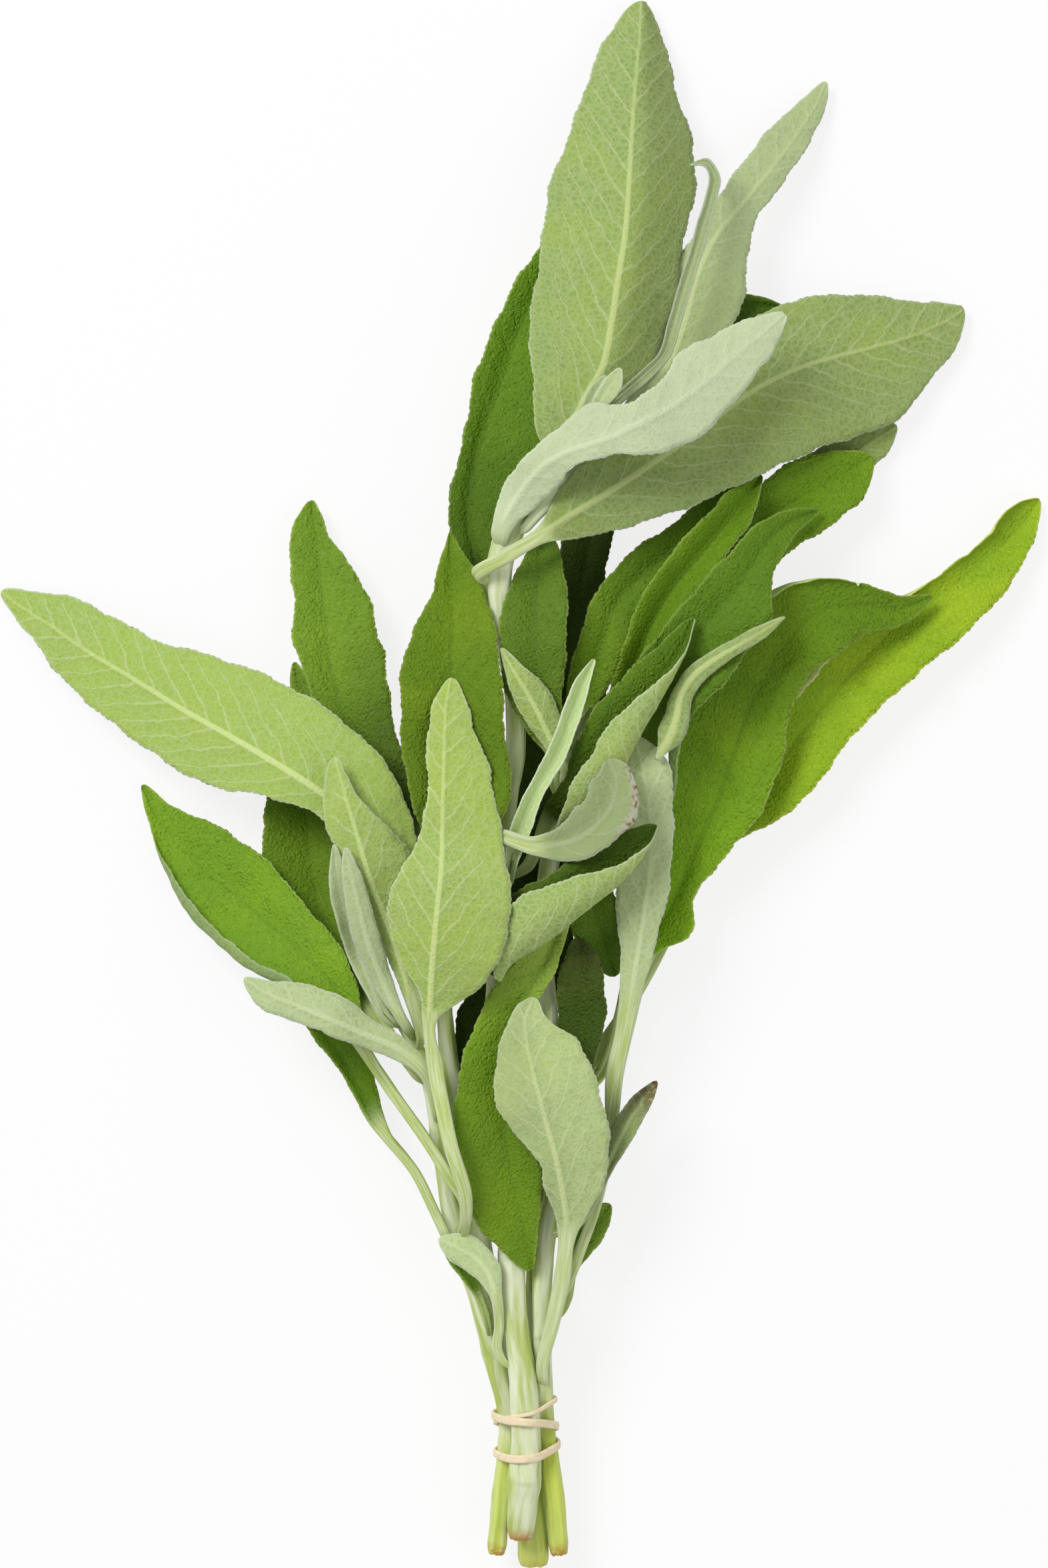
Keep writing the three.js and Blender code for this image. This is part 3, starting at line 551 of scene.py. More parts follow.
    def bump(self, height: Socket, distance: float, strength: float = 1.0,
             under: Optional[Socket] = None) -> Socket:
        """Raises the surface.

        Args:
            height: how high it is, from 0 to 1.
            distance: how far 1 stands up, in metres.
            strength: how much of it counts.
            under: the normal of a coarser relief beneath it.

        Returns:
            The normal.
        """
        node = self.add("ShaderNodeBump")
        for key, value in (("Height", height), ("Distance", distance), ("Strength", strength)):
            self.put(node.inputs[key], value)
        if under is not None:
            self.put(node.inputs["Normal"], under)
        return node.outputs[0]

    def finish(self, colour: Value, roughness: Value, normal: Optional[Socket] = None,
               **constants: Union[float, Colour]) -> bpy.types.Material:
        """Ends the material with its shader.

        Args:
            colour: the base colour.
            roughness: how dull it is.
            normal: its relief.
            constants: the shader's other inputs, set on its own sockets; _ stands for a space.

        Returns:
            The material.
        """
        shader = self.add("ShaderNodeBsdfPrincipled")
        self.put(shader.inputs["Base Color"], colour)
        self.put(shader.inputs["Roughness"], roughness)
        if normal is not None:
            self.put(shader.inputs["Normal"], normal)
        for key, value in constants.items():
            self.put(shader.inputs[key.replace("_", " ")], value)
        out = self.add("ShaderNodeOutputMaterial")
        self.tree.links.new(shader.outputs[0], out.inputs["Surface"])
        return self.material


# ---- finishes -------------------------------------------------------------------------------


@dataclass(frozen=True)
class Patches:
    """Soft patches on a surface, such as bruises or worn down."""

    scale: float
    """How many clouds there are to a millimetre."""
    detail: float
    """How many finer layers they have."""
    low: float
    """The cloud's number where a patch begins."""
    high: float
    """The cloud's number where it is full."""

    def nodes(self, n: Nodes, where: Socket) -> Socket:
        """How much of a patch a place is."""
        return n.ramp(n.noise(where, self.scale, self.detail), self.low, self.high)


@dataclass(frozen=True)
class Veins:
    """How the side veins run over a blade, in millimetres, for its relief and its colour."""

    spacing: float = 5.6
    """Between two side veins, along the midrib."""
    slope: float = 1.15
    """How far a vein runs up the blade for each millimetre away from the midrib."""
    curl: float = 0.045
    """How much more it turns up as it nears the margin."""
    sway: float = 0.45
    """How far veins wander from an even spacing."""
    sway_along: float = 0.31
    """How fast that changes along the blade."""
    sway_across: float = 0.23
    """How fast that changes across it."""
    offset: float = 0.43
    """How far the veins of the left half stand from those of the right, in spacings."""
    lean: float = 0.7
    """Two veins' distance from each other, as a share of their spacing along the midrib."""

    def course(self, across: np.ndarray, along: np.ndarray, seed: float) -> np.ndarray:
        """Numbers the veins: a whole number lies on a vein.

        Args:
            across: distance from the midrib, left below zero.
            along: distance from the foot.
            seed: the leaf's own number.

        Returns:
            The number at each place.
        """
        away = np.abs(across)
        side = np.where(across < 0, self.offset, 0.0)
        sway = self.sway * np.sin(along * self.sway_along + across * self.sway_across + seed)
        return (along - away * (self.slope + self.curl * away) + sway) / self.spacing + side

    def nodes(self, n: Nodes, across: Socket, along: Socket, seed: Socket) -> Socket:
        """Numbers the veins in a material, as `course` does.

        Args:
            n: the material's nodes.
            across: distance from the midrib, left below zero.
            along: distance from the foot.
            seed: the leaf's own number.

        Returns:
            The number at each place.
        """
        away = n.math("ABSOLUTE", across)
        side = n.times(n.math("LESS_THAN", across, 0.0), self.offset)
        phase = n.plus(n.times(along, self.sway_along), n.scaled(across, self.sway_across, seed))
        sway = n.times(n.math("SINE", phase), self.sway)
        climb = n.times(away, n.scaled(away, self.curl, self.slope))
        run = n.plus(n.math("SUBTRACT", along, climb), sway)
        return n.plus(n.math("DIVIDE", run, self.spacing), side)

    def lines(self, n: Nodes, number: Socket, width: Value) -> Socket:
        """Draws soft lines where a number is whole.

        Args:
            n: the material's nodes.
            number: the number.
            width: how wide the lines are, in millimetres.

        Returns:
            How much of a line each place is.
        """
        saw = n.math("FRACT", number)
        gap = n.times(n.math("MINIMUM", saw, n.rest(saw)), self.spacing * self.lean)
        return n.rest(n.ramp(gap, 0.05, width))


VEINS = Veins()


@dataclass(frozen=True)
class LeafFinish:
    """One side of a leaf: its greens, the net of veins in them, and the down that covers it."""

    name: str
    blade: Colour
    deep: Colour
    """Inside the cells of its net."""
    fresh: Colour
    """Where it is younger and yellower, in large clouds."""
    net: Colour
    """The fine veins."""
    vein: Colour
    """The side veins."""
    midrib: Colour
    down: Colour
    side_share: float
    """How strongly the side veins show."""
    rib_share: float
    """How strongly the midrib shows."""
    net_share: float
    """How strongly the net shows."""
    cell: float
    """How many cells of the net there are to a millimetre."""
    pebble: float
    """How high the net's cells swell, in metres; below zero they are sunk between raised veins."""
    grain: float
    """How many grains there are to a millimetre."""
    grain_height: float
    """How high the grains stand, in metres."""
    roughness: float
    sheen: float
    stalk_green: Colour = (0.46, 0.57, 0.16)
    stalk_down: Colour = (0.64, 0.71, 0.42)
    oil_glint: Colour = (0.86, 0.9, 0.8)
    # A painted glint of light on a drop of oil.
    """The glint of a drop of oil."""
    bruise: Colour = (0.2, 0.12, 0.06)
    dry: Colour = (0.72, 0.66, 0.56)
    """A dry margin, and the brown in it."""
    dry_brown: Colour = (0.3, 0.14, 0.07)

    STRAY = 0.95
    """How far the veins stray from their even course, in millimetres."""
    FINER = 2.1
    """How much finer the threads are than the net."""
    VEIN_WIDTH = 0.42
    FORK_WIDTH = 0.34
    TONE_AND_SHADE_STEP = 0.28
    # How much lighter a leaf is whose tone and painted light add up to 1.
    """How much lighter a leaf is whose tint is 1."""
    WARM_STEP = 0.3
    """How much redder one is whose warmth is 1."""
    DOWN_HEIGHT = 0.00006
    YOUNGER = Patches(0.07, 3.0, 0.42, 0.7)
    BRUISES = Patches(0.9, 4.0, 0.3, 0.55)
    DRY_SPOTS = Patches(1.6, 4.0, 0.5, 0.62)
    STALK_STREAKS = Patches(1.0, 3.0, 0.35, 0.65)

    def material(self) -> bpy.types.Material:
        """Makes the finish's material.

        Returns:
            The material.
        """
        n = Nodes(self.name)
        across, along = n.distances()
        seed, reach, stalk = n.mark("seed"), n.mark("reach"), n.mark("stalk")
        flat = n.point(across, along, seed)
        drift = [n.scaled(n.noise(n.point(across, along, n.plus(seed, lift)), 0.3, 3.0),
                          2 * self.STRAY, -self.STRAY) for lift in (0.0, 7.3)]
        a, v = n.plus(across, drift[0]), n.plus(along, drift[1])
        net = n.cells(n.point(a, v, seed), self.cell, edges=True)
        grain = n.rest(n.ramp(n.cells(flat, self.grain), 0.1, 0.75))
        speck = n.noise(flat, 3.2, 2.0)
        side = self._side_veins(n, VEINS.nodes(n, a, v, seed), across, reach)

        colour = self._greens(n, flat, net, grain, speck)
        colour = n.mix(n.times(side, self.side_share), colour, self.vein)
        colour = n.mix(self._midrib(n, across), colour, self.midrib)
        grooves = n.point(n.times(across, 3.0), n.times(along, 0.15), seed)
        streaks = self.STALK_STREAKS.nodes(n, grooves)
        stalk_colour = n.mix(streaks, self.stalk_green, self.stalk_down)
        colour = n.mix(n.times(stalk, 0.92), colour, stalk_colour)
        colour = self._weathered(n, flat, colour)
        # painted light and shade: the tone-and-shade mark makes each place lighter or darker, for
        # the leaf's own tone and for where it lies in shadow or in light
        light = n.scaled(n.mark("tone_and_shade"), self.TONE_AND_SHADE_STEP, 1.0)
        warm = n.times(light, n.scaled(n.mark("warm"), self.WARM_STEP, 1.0))
        colour = n.mix(1.0, colour, n.point(warm, light, light), "MULTIPLY")

        # relief: the cells of the net with the side veins, the grain, and the down
        sign = 1.0 if self.pebble > 0 else -1.0
        calm = n.rest(stalk)
        swell = n.times(n.ramp(net, 0.0, 0.5), n.times(calm, sign))
        cells = n.math("SUBTRACT", swell, n.times(side, 0.35 * sign))
        body = n.bump(cells, abs(self.pebble))
        body = n.bump(n.times(grain, calm), self.grain_height, 1.0, body)
        normal = n.bump(n.noise(flat, 6.0, 3.0), self.DOWN_HEIGHT, 0.8, body)
        rough = n.scaled(speck, 0.2, self.roughness - 0.1)
        return n.finish(colour, rough, normal, Sheen_Weight=self.sheen, Sheen_Roughness=0.5,
                        Sheen_Tint=self.down, Specular_IOR_Level=0.2)

    def _side_veins(self, n: Nodes, number: Socket, across: Socket, reach: Socket) -> Socket:
        """Draws the side veins, which thin out and fork towards the margin.

        Args:
            n: the material's nodes.
            number: the number that is whole on a vein.
            across: distance from the midrib.
            reach: how far the margin lies from the midrib.

        Returns:
            How much of a vein each place is.
        """
        far = n.math("DIVIDE", n.math("ABSOLUTE", across), n.math("MAXIMUM", reach, 0.5))
        side = VEINS.lines(n, number, n.scaled(far, -0.22, self.VEIN_WIDTH))
        fork = VEINS.lines(n, n.plus(n.times(number, 2.0), 0.5), self.FORK_WIDTH)
        side = n.math("MAXIMUM", side, n.times(fork, n.times(n.ramp(far, 0.5, 0.8), 0.4)))
        side = n.times(side, n.rest(n.ramp(far, 0.82, 1.0)))
        return n.times(side, n.ramp(reach, 1.6, 3.2))

    def _midrib(self, n: Nodes, across: Socket) -> Socket:
        """Draws the midrib, which fades where it is thin.

        Args:
            n: the material's nodes.
            across: distance from the midrib.

        Returns:
            How much of the midrib each place is.
        """
        width = n.mark("rib")
        rib = n.rest(n.ramp(n.math("DIVIDE", n.math("ABSOLUTE", across), width), 0.45, 1.1))
        rib = n.times(rib, n.scaled(n.ramp(width, 0.3, 0.62), 0.6, 0.4))
        return n.times(rib, self.rib_share)

    def _greens(self, n: Nodes, flat: Socket, net: Socket, grain: Socket, speck: Socket) -> Socket:
        """Mixes the greens of the blade and its net of fine veins.

        Args:
            n: the material's nodes.
            flat: the place on the blade.
            net: the distance from the net.
            grain: how much of a grain each place is.
            speck: fine clouds.

        Returns:
            The colour.
        """
        mottle = n.scaled(n.noise(flat, 0.9, 3.0), 0.9, 0.1)
        shade = n.times(n.ramp(net, 0.04, 0.34), mottle)
        shade = n.math("SUBTRACT", shade, n.times(grain, 0.35), clamp=True)
        colour = n.mix(shade, self.blade, self.deep)
        younger = n.scaled(self.YOUNGER.nodes(n, flat), 0.6, n.mark("fresh"), clamp=True)
        colour = n.mix(younger, colour, self.fresh)
        colour = n.mix(n.times(n.ramp(speck, 0.48, 0.78), 0.2), colour, self.down)
        line = n.rest(n.ramp(net, 0.0, 0.13))
        thread = n.rest(n.ramp(n.cells(flat, self.FINER * self.cell, edges=True), 0.0, 0.16))
        lace = n.math("MAXIMUM", line, n.times(thread, 0.35))
        return n.mix(n.times(lace, self.net_share), colour, self.net)

    def _weathered(self, n: Nodes, flat: Socket, colour: Socket) -> Socket:
        """Adds what lies on the blade: down, painted glints on drops of oil, and bruised or dry
        places.

        Args:
            n: the material's nodes.
            flat: the place on the blade.
            colour: the colour so far.

        Returns:
            The colour.
        """
        rim = n.rest(n.ramp(n.mark("edge"), 0.05, 0.5))
        colour = n.mix(n.times(rim, 0.5), colour, self.down)
        # the pale mark: down, which near some feet is also painted light
        colour = n.mix(n.times(n.mark("pale"), 0.8), colour, self.down)
        # painted glints: white dots where drops of oil catch the light
        glint = n.math("LESS_THAN", n.cells(flat, 1.3), 0.07)
        colour = n.mix(n.times(glint, 0.5), colour, self.oil_glint)
        bruise = n.times(n.mark("scorch"), self.BRUISES.nodes(n, flat))
        colour = n.mix(bruise, colour, self.bruise)
        dry = n.mix(self.DRY_SPOTS.nodes(n, flat), self.dry, self.dry_brown)
        return n.mix(n.mark("torn"), colour, dry)


@dataclass(frozen=True)
class StemFinish:
    """The bark of a stem: green under whitish down, ridged along its length."""

    name: str
    green: Colour
    bloom: Colour
    """The whitish down on it."""
    flesh: Colour
    """Where it has lost its down."""
    cut: Colour
    brown: Colour
    shadow: float = 0.6
    # How dark the green is in its streaks, which is its own tone, and in its grooves, which is
    # painted shade.
    """How dark the green is in its streaks and grooves."""
    fibre_height: float = 0.0002
    down_height: float = 0.00008

    DOWNY = Patches(0.55, 3.0, 0.34, 0.62)
    SCARS = Patches(0.9, 4.0, 0.32, 0.52)

    def material(self) -> bpy.types.Material:
        """Makes the finish's material.

        Returns:
            The material.
        """
        n = Nodes(self.name)
        around, along = n.distances()
        seed, bare = n.mark("seed"), n.mark("bare")
        place = n.point(around, along, seed)
        streak = n.noise(n.point(around, n.times(along, 0.08), seed), 1.5, 4.0)
        downy = self.DOWNY.nodes(n, n.point(around, n.times(along, 0.12), seed))
        down = n.noise(place, 4.0, 3.0)
        dark = tuple(self.shadow * c for c in self.green)
        colour = n.mix(bare, self.green, self.flesh)
        colour = n.mix(n.times(n.ramp(streak, 0.35, 0.65), 0.35), colour, dark)
        cover = n.times(downy, n.scaled(bare, -0.85, 1.0))
        cover = n.math("MULTIPLY", cover, n.scaled(down, 0.45, 0.62), clamp=True)
        colour = n.mix(cover, colour, self.bloom)
        # painted shade in the grooves
        colour = n.mix(n.times(n.mark("groove_shade"), 0.22), colour, dark)
        colour = n.mix(n.mark("cut"), colour, self.cut)
        scar = n.times(n.mark("scar"), self.SCARS.nodes(n, place))
        colour = n.mix(scar, colour, self.brown)
        fibre = n.bump(streak, self.fibre_height, 0.7)
        normal = n.bump(n.noise(place, 6.0, 2.0), self.down_height, 0.7, fibre)
        return n.finish(colour, n.scaled(down, 0.2, 0.5), normal, Sheen_Weight=0.25,
                        Sheen_Roughness=0.5, Sheen_Tint=self.bloom, Specular_IOR_Level=0.4)


@dataclass(frozen=True)
class BandFinish:
    """Natural rubber, tan and slightly waxy."""

    name: str = "band_rubber"
    tan: Colour = (0.86, 0.7, 0.44)
    worn: Colour = (0.92, 0.81, 0.58)
    grain_height: float = 0.00005

    WEAR = Patches(0.5, 3.0, 0.35, 0.7)

    def material(self) -> bpy.types.Material:
        """Makes the finish's material.

        Returns:
            The material.
        """
        n = Nodes(self.name)
        layer = n.layer()
        grain = n.noise(layer, 5.0, 2.0)
        colour = n.mix(self.WEAR.nodes(n, layer), self.tan, self.worn)
        rough = n.scaled(grain, 0.2, 0.42)
        return n.finish(colour, rough, n.bump(grain, self.grain_height, 0.5),
                        Specular_IOR_Level=0.45)


# On the two upper finishes the net and the midrib are darker than the blade: painted shade in their
# sunken lines.
UPPER_GREEN = LeafFinish(
    "leaf_upper_green", blade=(0.17, 0.325, 0.008), deep=(0.105, 0.23, 0.004),
    fresh=(0.25, 0.41, 0.01), net=(0.1, 0.2, 0.006), vein=(0.22, 0.35, 0.03),
    midrib=(0.1, 0.21, 0.005), down=(0.38, 0.5, 0.1), side_share=0.12, rib_share=0.4,
    net_share=0.5, cell=1.1, pebble=0.00017, grain=2.2, grain_height=0.00008, roughness=0.62,
    sheen=0.01)
DARK_GREEN = LeafFinish(
    "leaf_dark_green", blade=(0.115, 0.235, 0.007), deep=(0.07, 0.155, 0.004),
    fresh=(0.16, 0.29, 0.009), net=(0.065, 0.14, 0.005), vein=(0.16, 0.27, 0.03),
    midrib=(0.07, 0.15, 0.005), down=(0.34, 0.45, 0.1), side_share=0.12, rib_share=0.35,
    net_share=0.5, cell=1.1, pebble=0.00017, grain=2.2, grain_height=0.00008, roughness=0.6,
    sheen=0.01)
UNDERSIDE = LeafFinish(
    "leaf_underside", blade=(0.32, 0.44, 0.13), deep=(0.22, 0.33, 0.07),
    fresh=(0.34, 0.48, 0.075), net=(0.46, 0.56, 0.24), vein=(0.56, 0.65, 0.33),
    midrib=(0.62, 0.72, 0.29), down=(0.64, 0.71, 0.48), side_share=0.5, rib_share=0.92,
    net_share=0.5, cell=0.85, pebble=-0.00006, grain=1.9, grain_height=0.00005, roughness=0.8,
    sheen=0.08)
YOUNG_DOWN = LeafFinish(
    "leaf_young_down", blade=(0.45, 0.55, 0.27), deep=(0.34, 0.44, 0.17),
    fresh=(0.44, 0.56, 0.23), net=(0.55, 0.64, 0.38), vein=(0.6, 0.69, 0.42),
    midrib=(0.64, 0.73, 0.42), down=(0.7, 0.76, 0.6), side_share=0.38, rib_share=0.65,
    net_share=0.25, cell=0.8, pebble=-0.00004, grain=2.0, grain_height=0.00004, roughness=0.85,
    sheen=0.12)
STEM_BARK = StemFinish(
    "stem_bark", green=(0.5, 0.62, 0.14), bloom=(0.87, 0.91, 0.7), flesh=(0.66, 0.78, 0.06),
    cut=(0.7, 0.66, 0.24), brown=(0.5, 0.24, 0.03))


class Side(Enum):
    """Which finish a leaf shows upwards and which one below."""

    UPPER = "leaf_upper"
    DARK = "leaf_dark"
    UNDER = "leaf_under"
    YOUNG = "leaf_young"

    def finishes(self) -> tuple[LeafFinish, LeafFinish]:
        """Gives a leaf's two finishes.

        Returns:
            The one on its upward face, then the one on its downward face.
        """
        return {
            Side.UPPER: (UPPER_GREEN, UNDERSIDE),
            Side.DARK: (DARK_GREEN, UNDERSIDE),
            Side.UNDER: (UNDERSIDE, UPPER_GREEN),
            Side.YOUNG: (YOUNG_DOWN, YOUNG_DOWN),
        }[self]


class Shelf:
    """Keeps each finish's material, so that the pieces share it."""

    _made: dict[str, bpy.types.Material] = {}

    @classmethod
    def take(cls, finish: Union[LeafFinish, StemFinish, BandFinish]) -> bpy.types.Material:
        """Gives a finish's material, made when it is first asked for.

        Args:
            finish: the finish.

        Returns:
            The material.
        """
        if finish.name not in cls._made:
            cls._made[finish.name] = finish.material()
        return cls._made[finish.name]


# ---- leaves ---------------------------------------------------------------------------------


@dataclass
class Blade:
    """A leaf's surface as a grid: rows from its foot to its tip, columns from left to right.

    Lengths are in millimetres. What is measured has one number for each place, or one for each
    row.
    """

    points: np.ndarray
    """(rows, columns, 3)."""
    end: np.ndarray
    """How far each row lies from the last station to the tip."""
    widest: float
    """From margin to margin, where that is most."""
    stalked: bool
    """Whether its narrow foot is a stalk."""

    STALK_REACH = (1.5, 2.8)
    """Margins nearer than the first are all stalk, and those further than the second all blade."""
    STALK_END = (0.5, 0.65)
    """Between which shares of the length a stalk turns into a blade at the latest."""
    FULL_REACH = 4.5
    """A leaf whose margins stay nearer than this has a thinner stalk."""

    def __post_init__(self) -> None:
        """Measures the grid: distances from the foot and the midrib, and where the stalk is."""
        middle = self.points.shape[1] // 2
        self.along = lengths(self.points[:, middle])[:, None]
        self.height = self.along / self.along[-1]
        steps = np.linalg.norm(np.diff(self.points, axis=1), axis=2)
        left = np.cumsum(steps[:, middle - 1::-1], axis=1)[:, ::-1]
        right = np.cumsum(steps[:, middle:], axis=1)
        self.across = np.concatenate([-left, np.zeros((len(steps), 1)), right], axis=1)
        self.reach = np.where(self.across < 0, left[:, :1], right[:, -1:])
        self.share = np.abs(self.across) / np.maximum(self.reach, 1e-6)
        self.mean_reach = (left[:, :1] + right[:, -1:]) / 2
        slight = min(1.0, self.mean_reach.max() / self.FULL_REACH)
        low, high = self.STALK_REACH
        narrow = 1 - ramp(low * slight, high * slight, self.mean_reach)
        self.stalk = narrow * (1 - ramp(*self.STALK_END, self.height)) * self.stalked


@dataclass
class Leaf:
    """One leaf: a thin blade on its stalk. Lengths are in millimetres."""

    node: str
    side: Side
    tone_and_shade: float = 0.0
    # Lighter above zero, darker below: the leaf's own tone, together with painted shade on leaves
    # that lie in shadow and painted light on leaves that lie in light.
    """Lighter above zero, darker below."""
    warm: float = 0.0
    """Yellower above zero."""
    pale: float = 0.0
    """How much down covers it."""
    scorch: float = 0.0
    """How brown its tip is."""
    tooth: float = 0.15
    """How far the teeth of its margin stand out."""
    ripple: float = 0.3
    """How far its margins rise and fall."""
    foot_light_and_shade: Optional[float] = None
    # The leaf's tone and shade towards the foot, where that differs: painted shade where the foot
    # lies in shadow, painted light where it lies in light.
    """The same as `tint` towards the foot, where that differs."""
    hidden_tone_and_shade: Optional[float] = None
    # The leaf's tone and shade on the face beneath, where that one differs: its own tone, with
    # painted light and shade on the strips of it that show.
    """The same as `tint` on the face beneath, where that one differs."""
    side_tone_and_shade: tuple[float, float] = (0.0, 0.0)
    # What is added to the leaf's tone and shade on its left and its right half: its own tone, with
    # painted shade on a half that tilts away from the light.
    """What is added to `tint` on its left and its right half."""
    foot_down_and_light: float = 0.0
    # How much more down there is on its lower half, which also paints light on a lower half that
    # lies in shade.
    """How much more down there is on its lower half."""
    fresh: float = 0.0
    """How young and yellow it is all over."""
    sag: tuple[float, float] = (0.0, 0.0)
    """How far its left and its right margin hang down."""
    wider: tuple[float, float, float] = (0.0, 0.0, 1.0)
    """How much wider it is, how far from its foot, and over what length."""
    frayed: int = 0
    """The margin that is dry and torn: -1 left, 1 right."""
    flared: float = 0.0
    """How much wider it is near a foot that ends in a point, without a stalk."""
    loose: bool = False
    """Whether the leaf in front hides its stalk, which is then left short."""
    run: float = 1.0
    """How far its stalk runs down along the stem, as a share of the usual."""

    ROW = 0.4
    """Between two rows of the surface."""
    COLUMN = 0.95
    """Between two columns, about."""
    CROWDING = 1.15
    """Above 1, the columns stand closer together at the midrib."""
    THICKNESS = 0.42
    EDGE_THICKNESS = 0.2
    STALK_DEPTH = 1.55
    STALK_CROWN = 0.25
    """How far the stalk's upper face bulges."""
    RIB_PLACES = (0, 0.25, 1)
    RIB_THICKNESS = (1.05, 0.8, 0.3)
    """The midrib's, at these shares of the length."""
    TIP_ROUNDNESS = 0.62
    """At 0 the tip is blunt and at 1 it is a straight wedge."""
    TIP_LENGTH = 0.3
    """How far the tip stands beyond the last row, as its finish counts it."""
    TOOTH_PITCH = 1.25
    TOOTH_SWAY = 9.0
    """Over what length the teeth grow wider and narrower."""
    OUTLINE_SWAY = 11.0
    """Over what length the outline wanders."""
    WANDERING = 0.32
    """How far the outline wanders."""
    WAVES = (15.0, 13.0, 15.0, 13.0)
    """Lengths of ripples. The first one's are on the left half, and the last one's on the right."""
    FURTHEST = 12
    """How far from a stem a stalk may end and still be led to it."""

    def build(self, frame: dict, spines: dict[str, Spine], seed: int) -> bpy.types.Object:
        """Builds the leaf and hands it to the frame.

        Args:
            spines: the stems' middle lines.
            seed: the leaf's own number.

        Returns:
            The leaf's object.
        """
        rng = np.random.default_rng(seed)
        stations = Stations.read(Solid(frame["nodes"][self.node])).upper / MM
        if self.loose:
            stations = stations[1:]
        elif not self.flared:
            stations = self._joined(stations, list(spines.values()))
        blade = self._blade(*self._rows(stations))
        skin = self._skin(blade, rng, float(seed))
        top, bottom = self.side.finishes()
        piece = skin.build(f"{self.node}_blade", [Shelf.take(top), Shelf.take(bottom)])
        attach(piece, "root")
        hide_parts(self.node)
        return piece

    def _joined(self, stations: np.ndarray, spines: Sequence[Spine]) -> np.ndarray:
        """Leads the stalk into the nearest stem.

        Args:
            stations: the leaf's stations.
            spines: the middle lines of all the stems.

        Returns:
            The stations with two more at the foot, the first inside the stem.
        """
        foot = stations[0, 2]
        finds = [spine.nearest(foot * MM) for spine in spines]
        place, up = min(finds, key=lambda find: np.linalg.norm(find[0] - foot * MM))
        place = place / MM
        away = np.linalg.norm(place - foot)
        if away > self.FURTHEST:
            return stations
        heading = unit(foot - stations[1, 2])
        place = place + heading * max(0.0, float((foot - place) @ heading))
        across = stations[0] - foot
        entry = place + 0.1 * (foot - place) - up * (1.6 + 0.6 * away) * self.run
        hug = place + 0.8 * (foot - place) - up * (0.6 + 0.3 * away) * self.run
        return np.concatenate([[entry + 0.6 * across], [hug + 0.95 * across], stations])

    @staticmethod
    def _widened(rows: np.ndarray, factors: np.ndarray) -> np.ndarray:
        """Makes rows wider from the rib outwards, each by its own factor."""
        rib = rows[:, 2][:, None]
        return rib + (rows - rib) * factors[:, None, None]

    def _rows(self, stations: np.ndarray) -> tuple[np.ndarray, np.ndarray]:
        """Fills in rows between the stations, with a rounded tip.

        Args:
            stations: the leaf's stations.

        Returns:
            The rows' five points, and how far each row lies from the last station to the tip.
        """
        knots = lengths(stations[:, 2])
        at = np.linspace(0, knots[-1], max(24, int(knots[-1] / self.ROW)))
        rows = spline(knots, stations, at)
        end = np.clip((at - knots[-2]) / (knots[-1] - knots[-2]), 0, 1)
        inside = end > 0
        offset = stations[-2] - stations[-2, 2]
        shape = (1 - end[inside]) ** self.TIP_ROUNDNESS
        rows[inside] = rows[inside, 2][:, None] + offset[None] * shape[:, None, None]
        if self.flared:
            wide = 1 + self.flared * np.exp(-((at / knots[-1] - 0.2) / 0.16) ** 2)
            rows = self._widened(rows, wide * np.sqrt(np.clip(at / 5.0, 0.01, 1)))
        amount, middle, length = self.wider
        rows = self._widened(rows, 1 + amount * np.exp(-((at - middle) / length) ** 2))
        return rows[:-1], end[:-1]

    def _blade(self, rows: np.ndarray, end: np.ndarray) -> Blade:
        """Fills in columns between the rows' five points.

        Args:
            rows: five points for each row.
            end: how far each row lies towards the tip.

        Returns:
            The blade.
        """
        widest = np.linalg.norm(rows[:, 4] - rows[:, 0], axis=1).max()
        half = int(np.clip(round(widest / 2 / self.COLUMN), 4, 13))
        columns = np.linspace(0, 1, half + 1) ** self.CROWDING
        places = np.concatenate([-(np.linspace(1, 0, half + 1) ** self.CROWDING), columns[1:]])
        points = np.stack([spline(np.arange(5.0), row, 2 + 2 * places) for row in rows])
        return Blade(points, end[:, None], widest, not self.flared)

    def _skin(self, blade: Blade, rng: np.random.Generator, seed: float) -> Skin:
        """Makes the blade's closed surface.

        Args:
            blade: the leaf's blade.
            rng: the leaf's irregularity.
            seed: the leaf's own number.

        Returns:
            The surface, in metres.
        """
        self._cut_teeth(blade, rng)
        across, share, stalk = blade.across, blade.share, blade.stalk
        onward, sideways = np.gradient(blade.points, axis=(0, 1))
        normal = unit(np.cross(sideways, onward))
        waves = [wander(rng, blade.along[:, 0], length)[:, None] for length in self.WAVES]
        ripple = np.where(across < 0, waves[0], waves[-1]) * share**2 * self.ripple * (1 - stalk)
        sag = np.where(across < 0, *self.sag) * share**1.6
        sag = sag * np.clip(blade.reach / blade.widest * 2, 0, 1)
        rib = np.interp(blade.height, self.RIB_PLACES, self.RIB_THICKNESS) * np.ones_like(across)
        ridge = np.exp(-(across / (0.75 * rib)) ** 2)
        raised = self.side in (Side.UNDER, Side.YOUNG)
        relief = self._relief(blade, seed, rib, ridge, raised)
        top = blade.points + normal * ((relief * (1 - stalk) + ripple - sag)[..., None])
        arch = np.sqrt(np.clip(1 - share**2, 0, 1))
        top += normal * (self.STALK_CROWN * arch * stalk)[..., None]
        inside = 1 - ramp(0.7, 1.0, share)
        thickness = self.EDGE_THICKNESS + (self.THICKNESS - self.EDGE_THICKNESS) * inside
        if not raised:
            thickness = thickness + 0.75 * rib * ridge
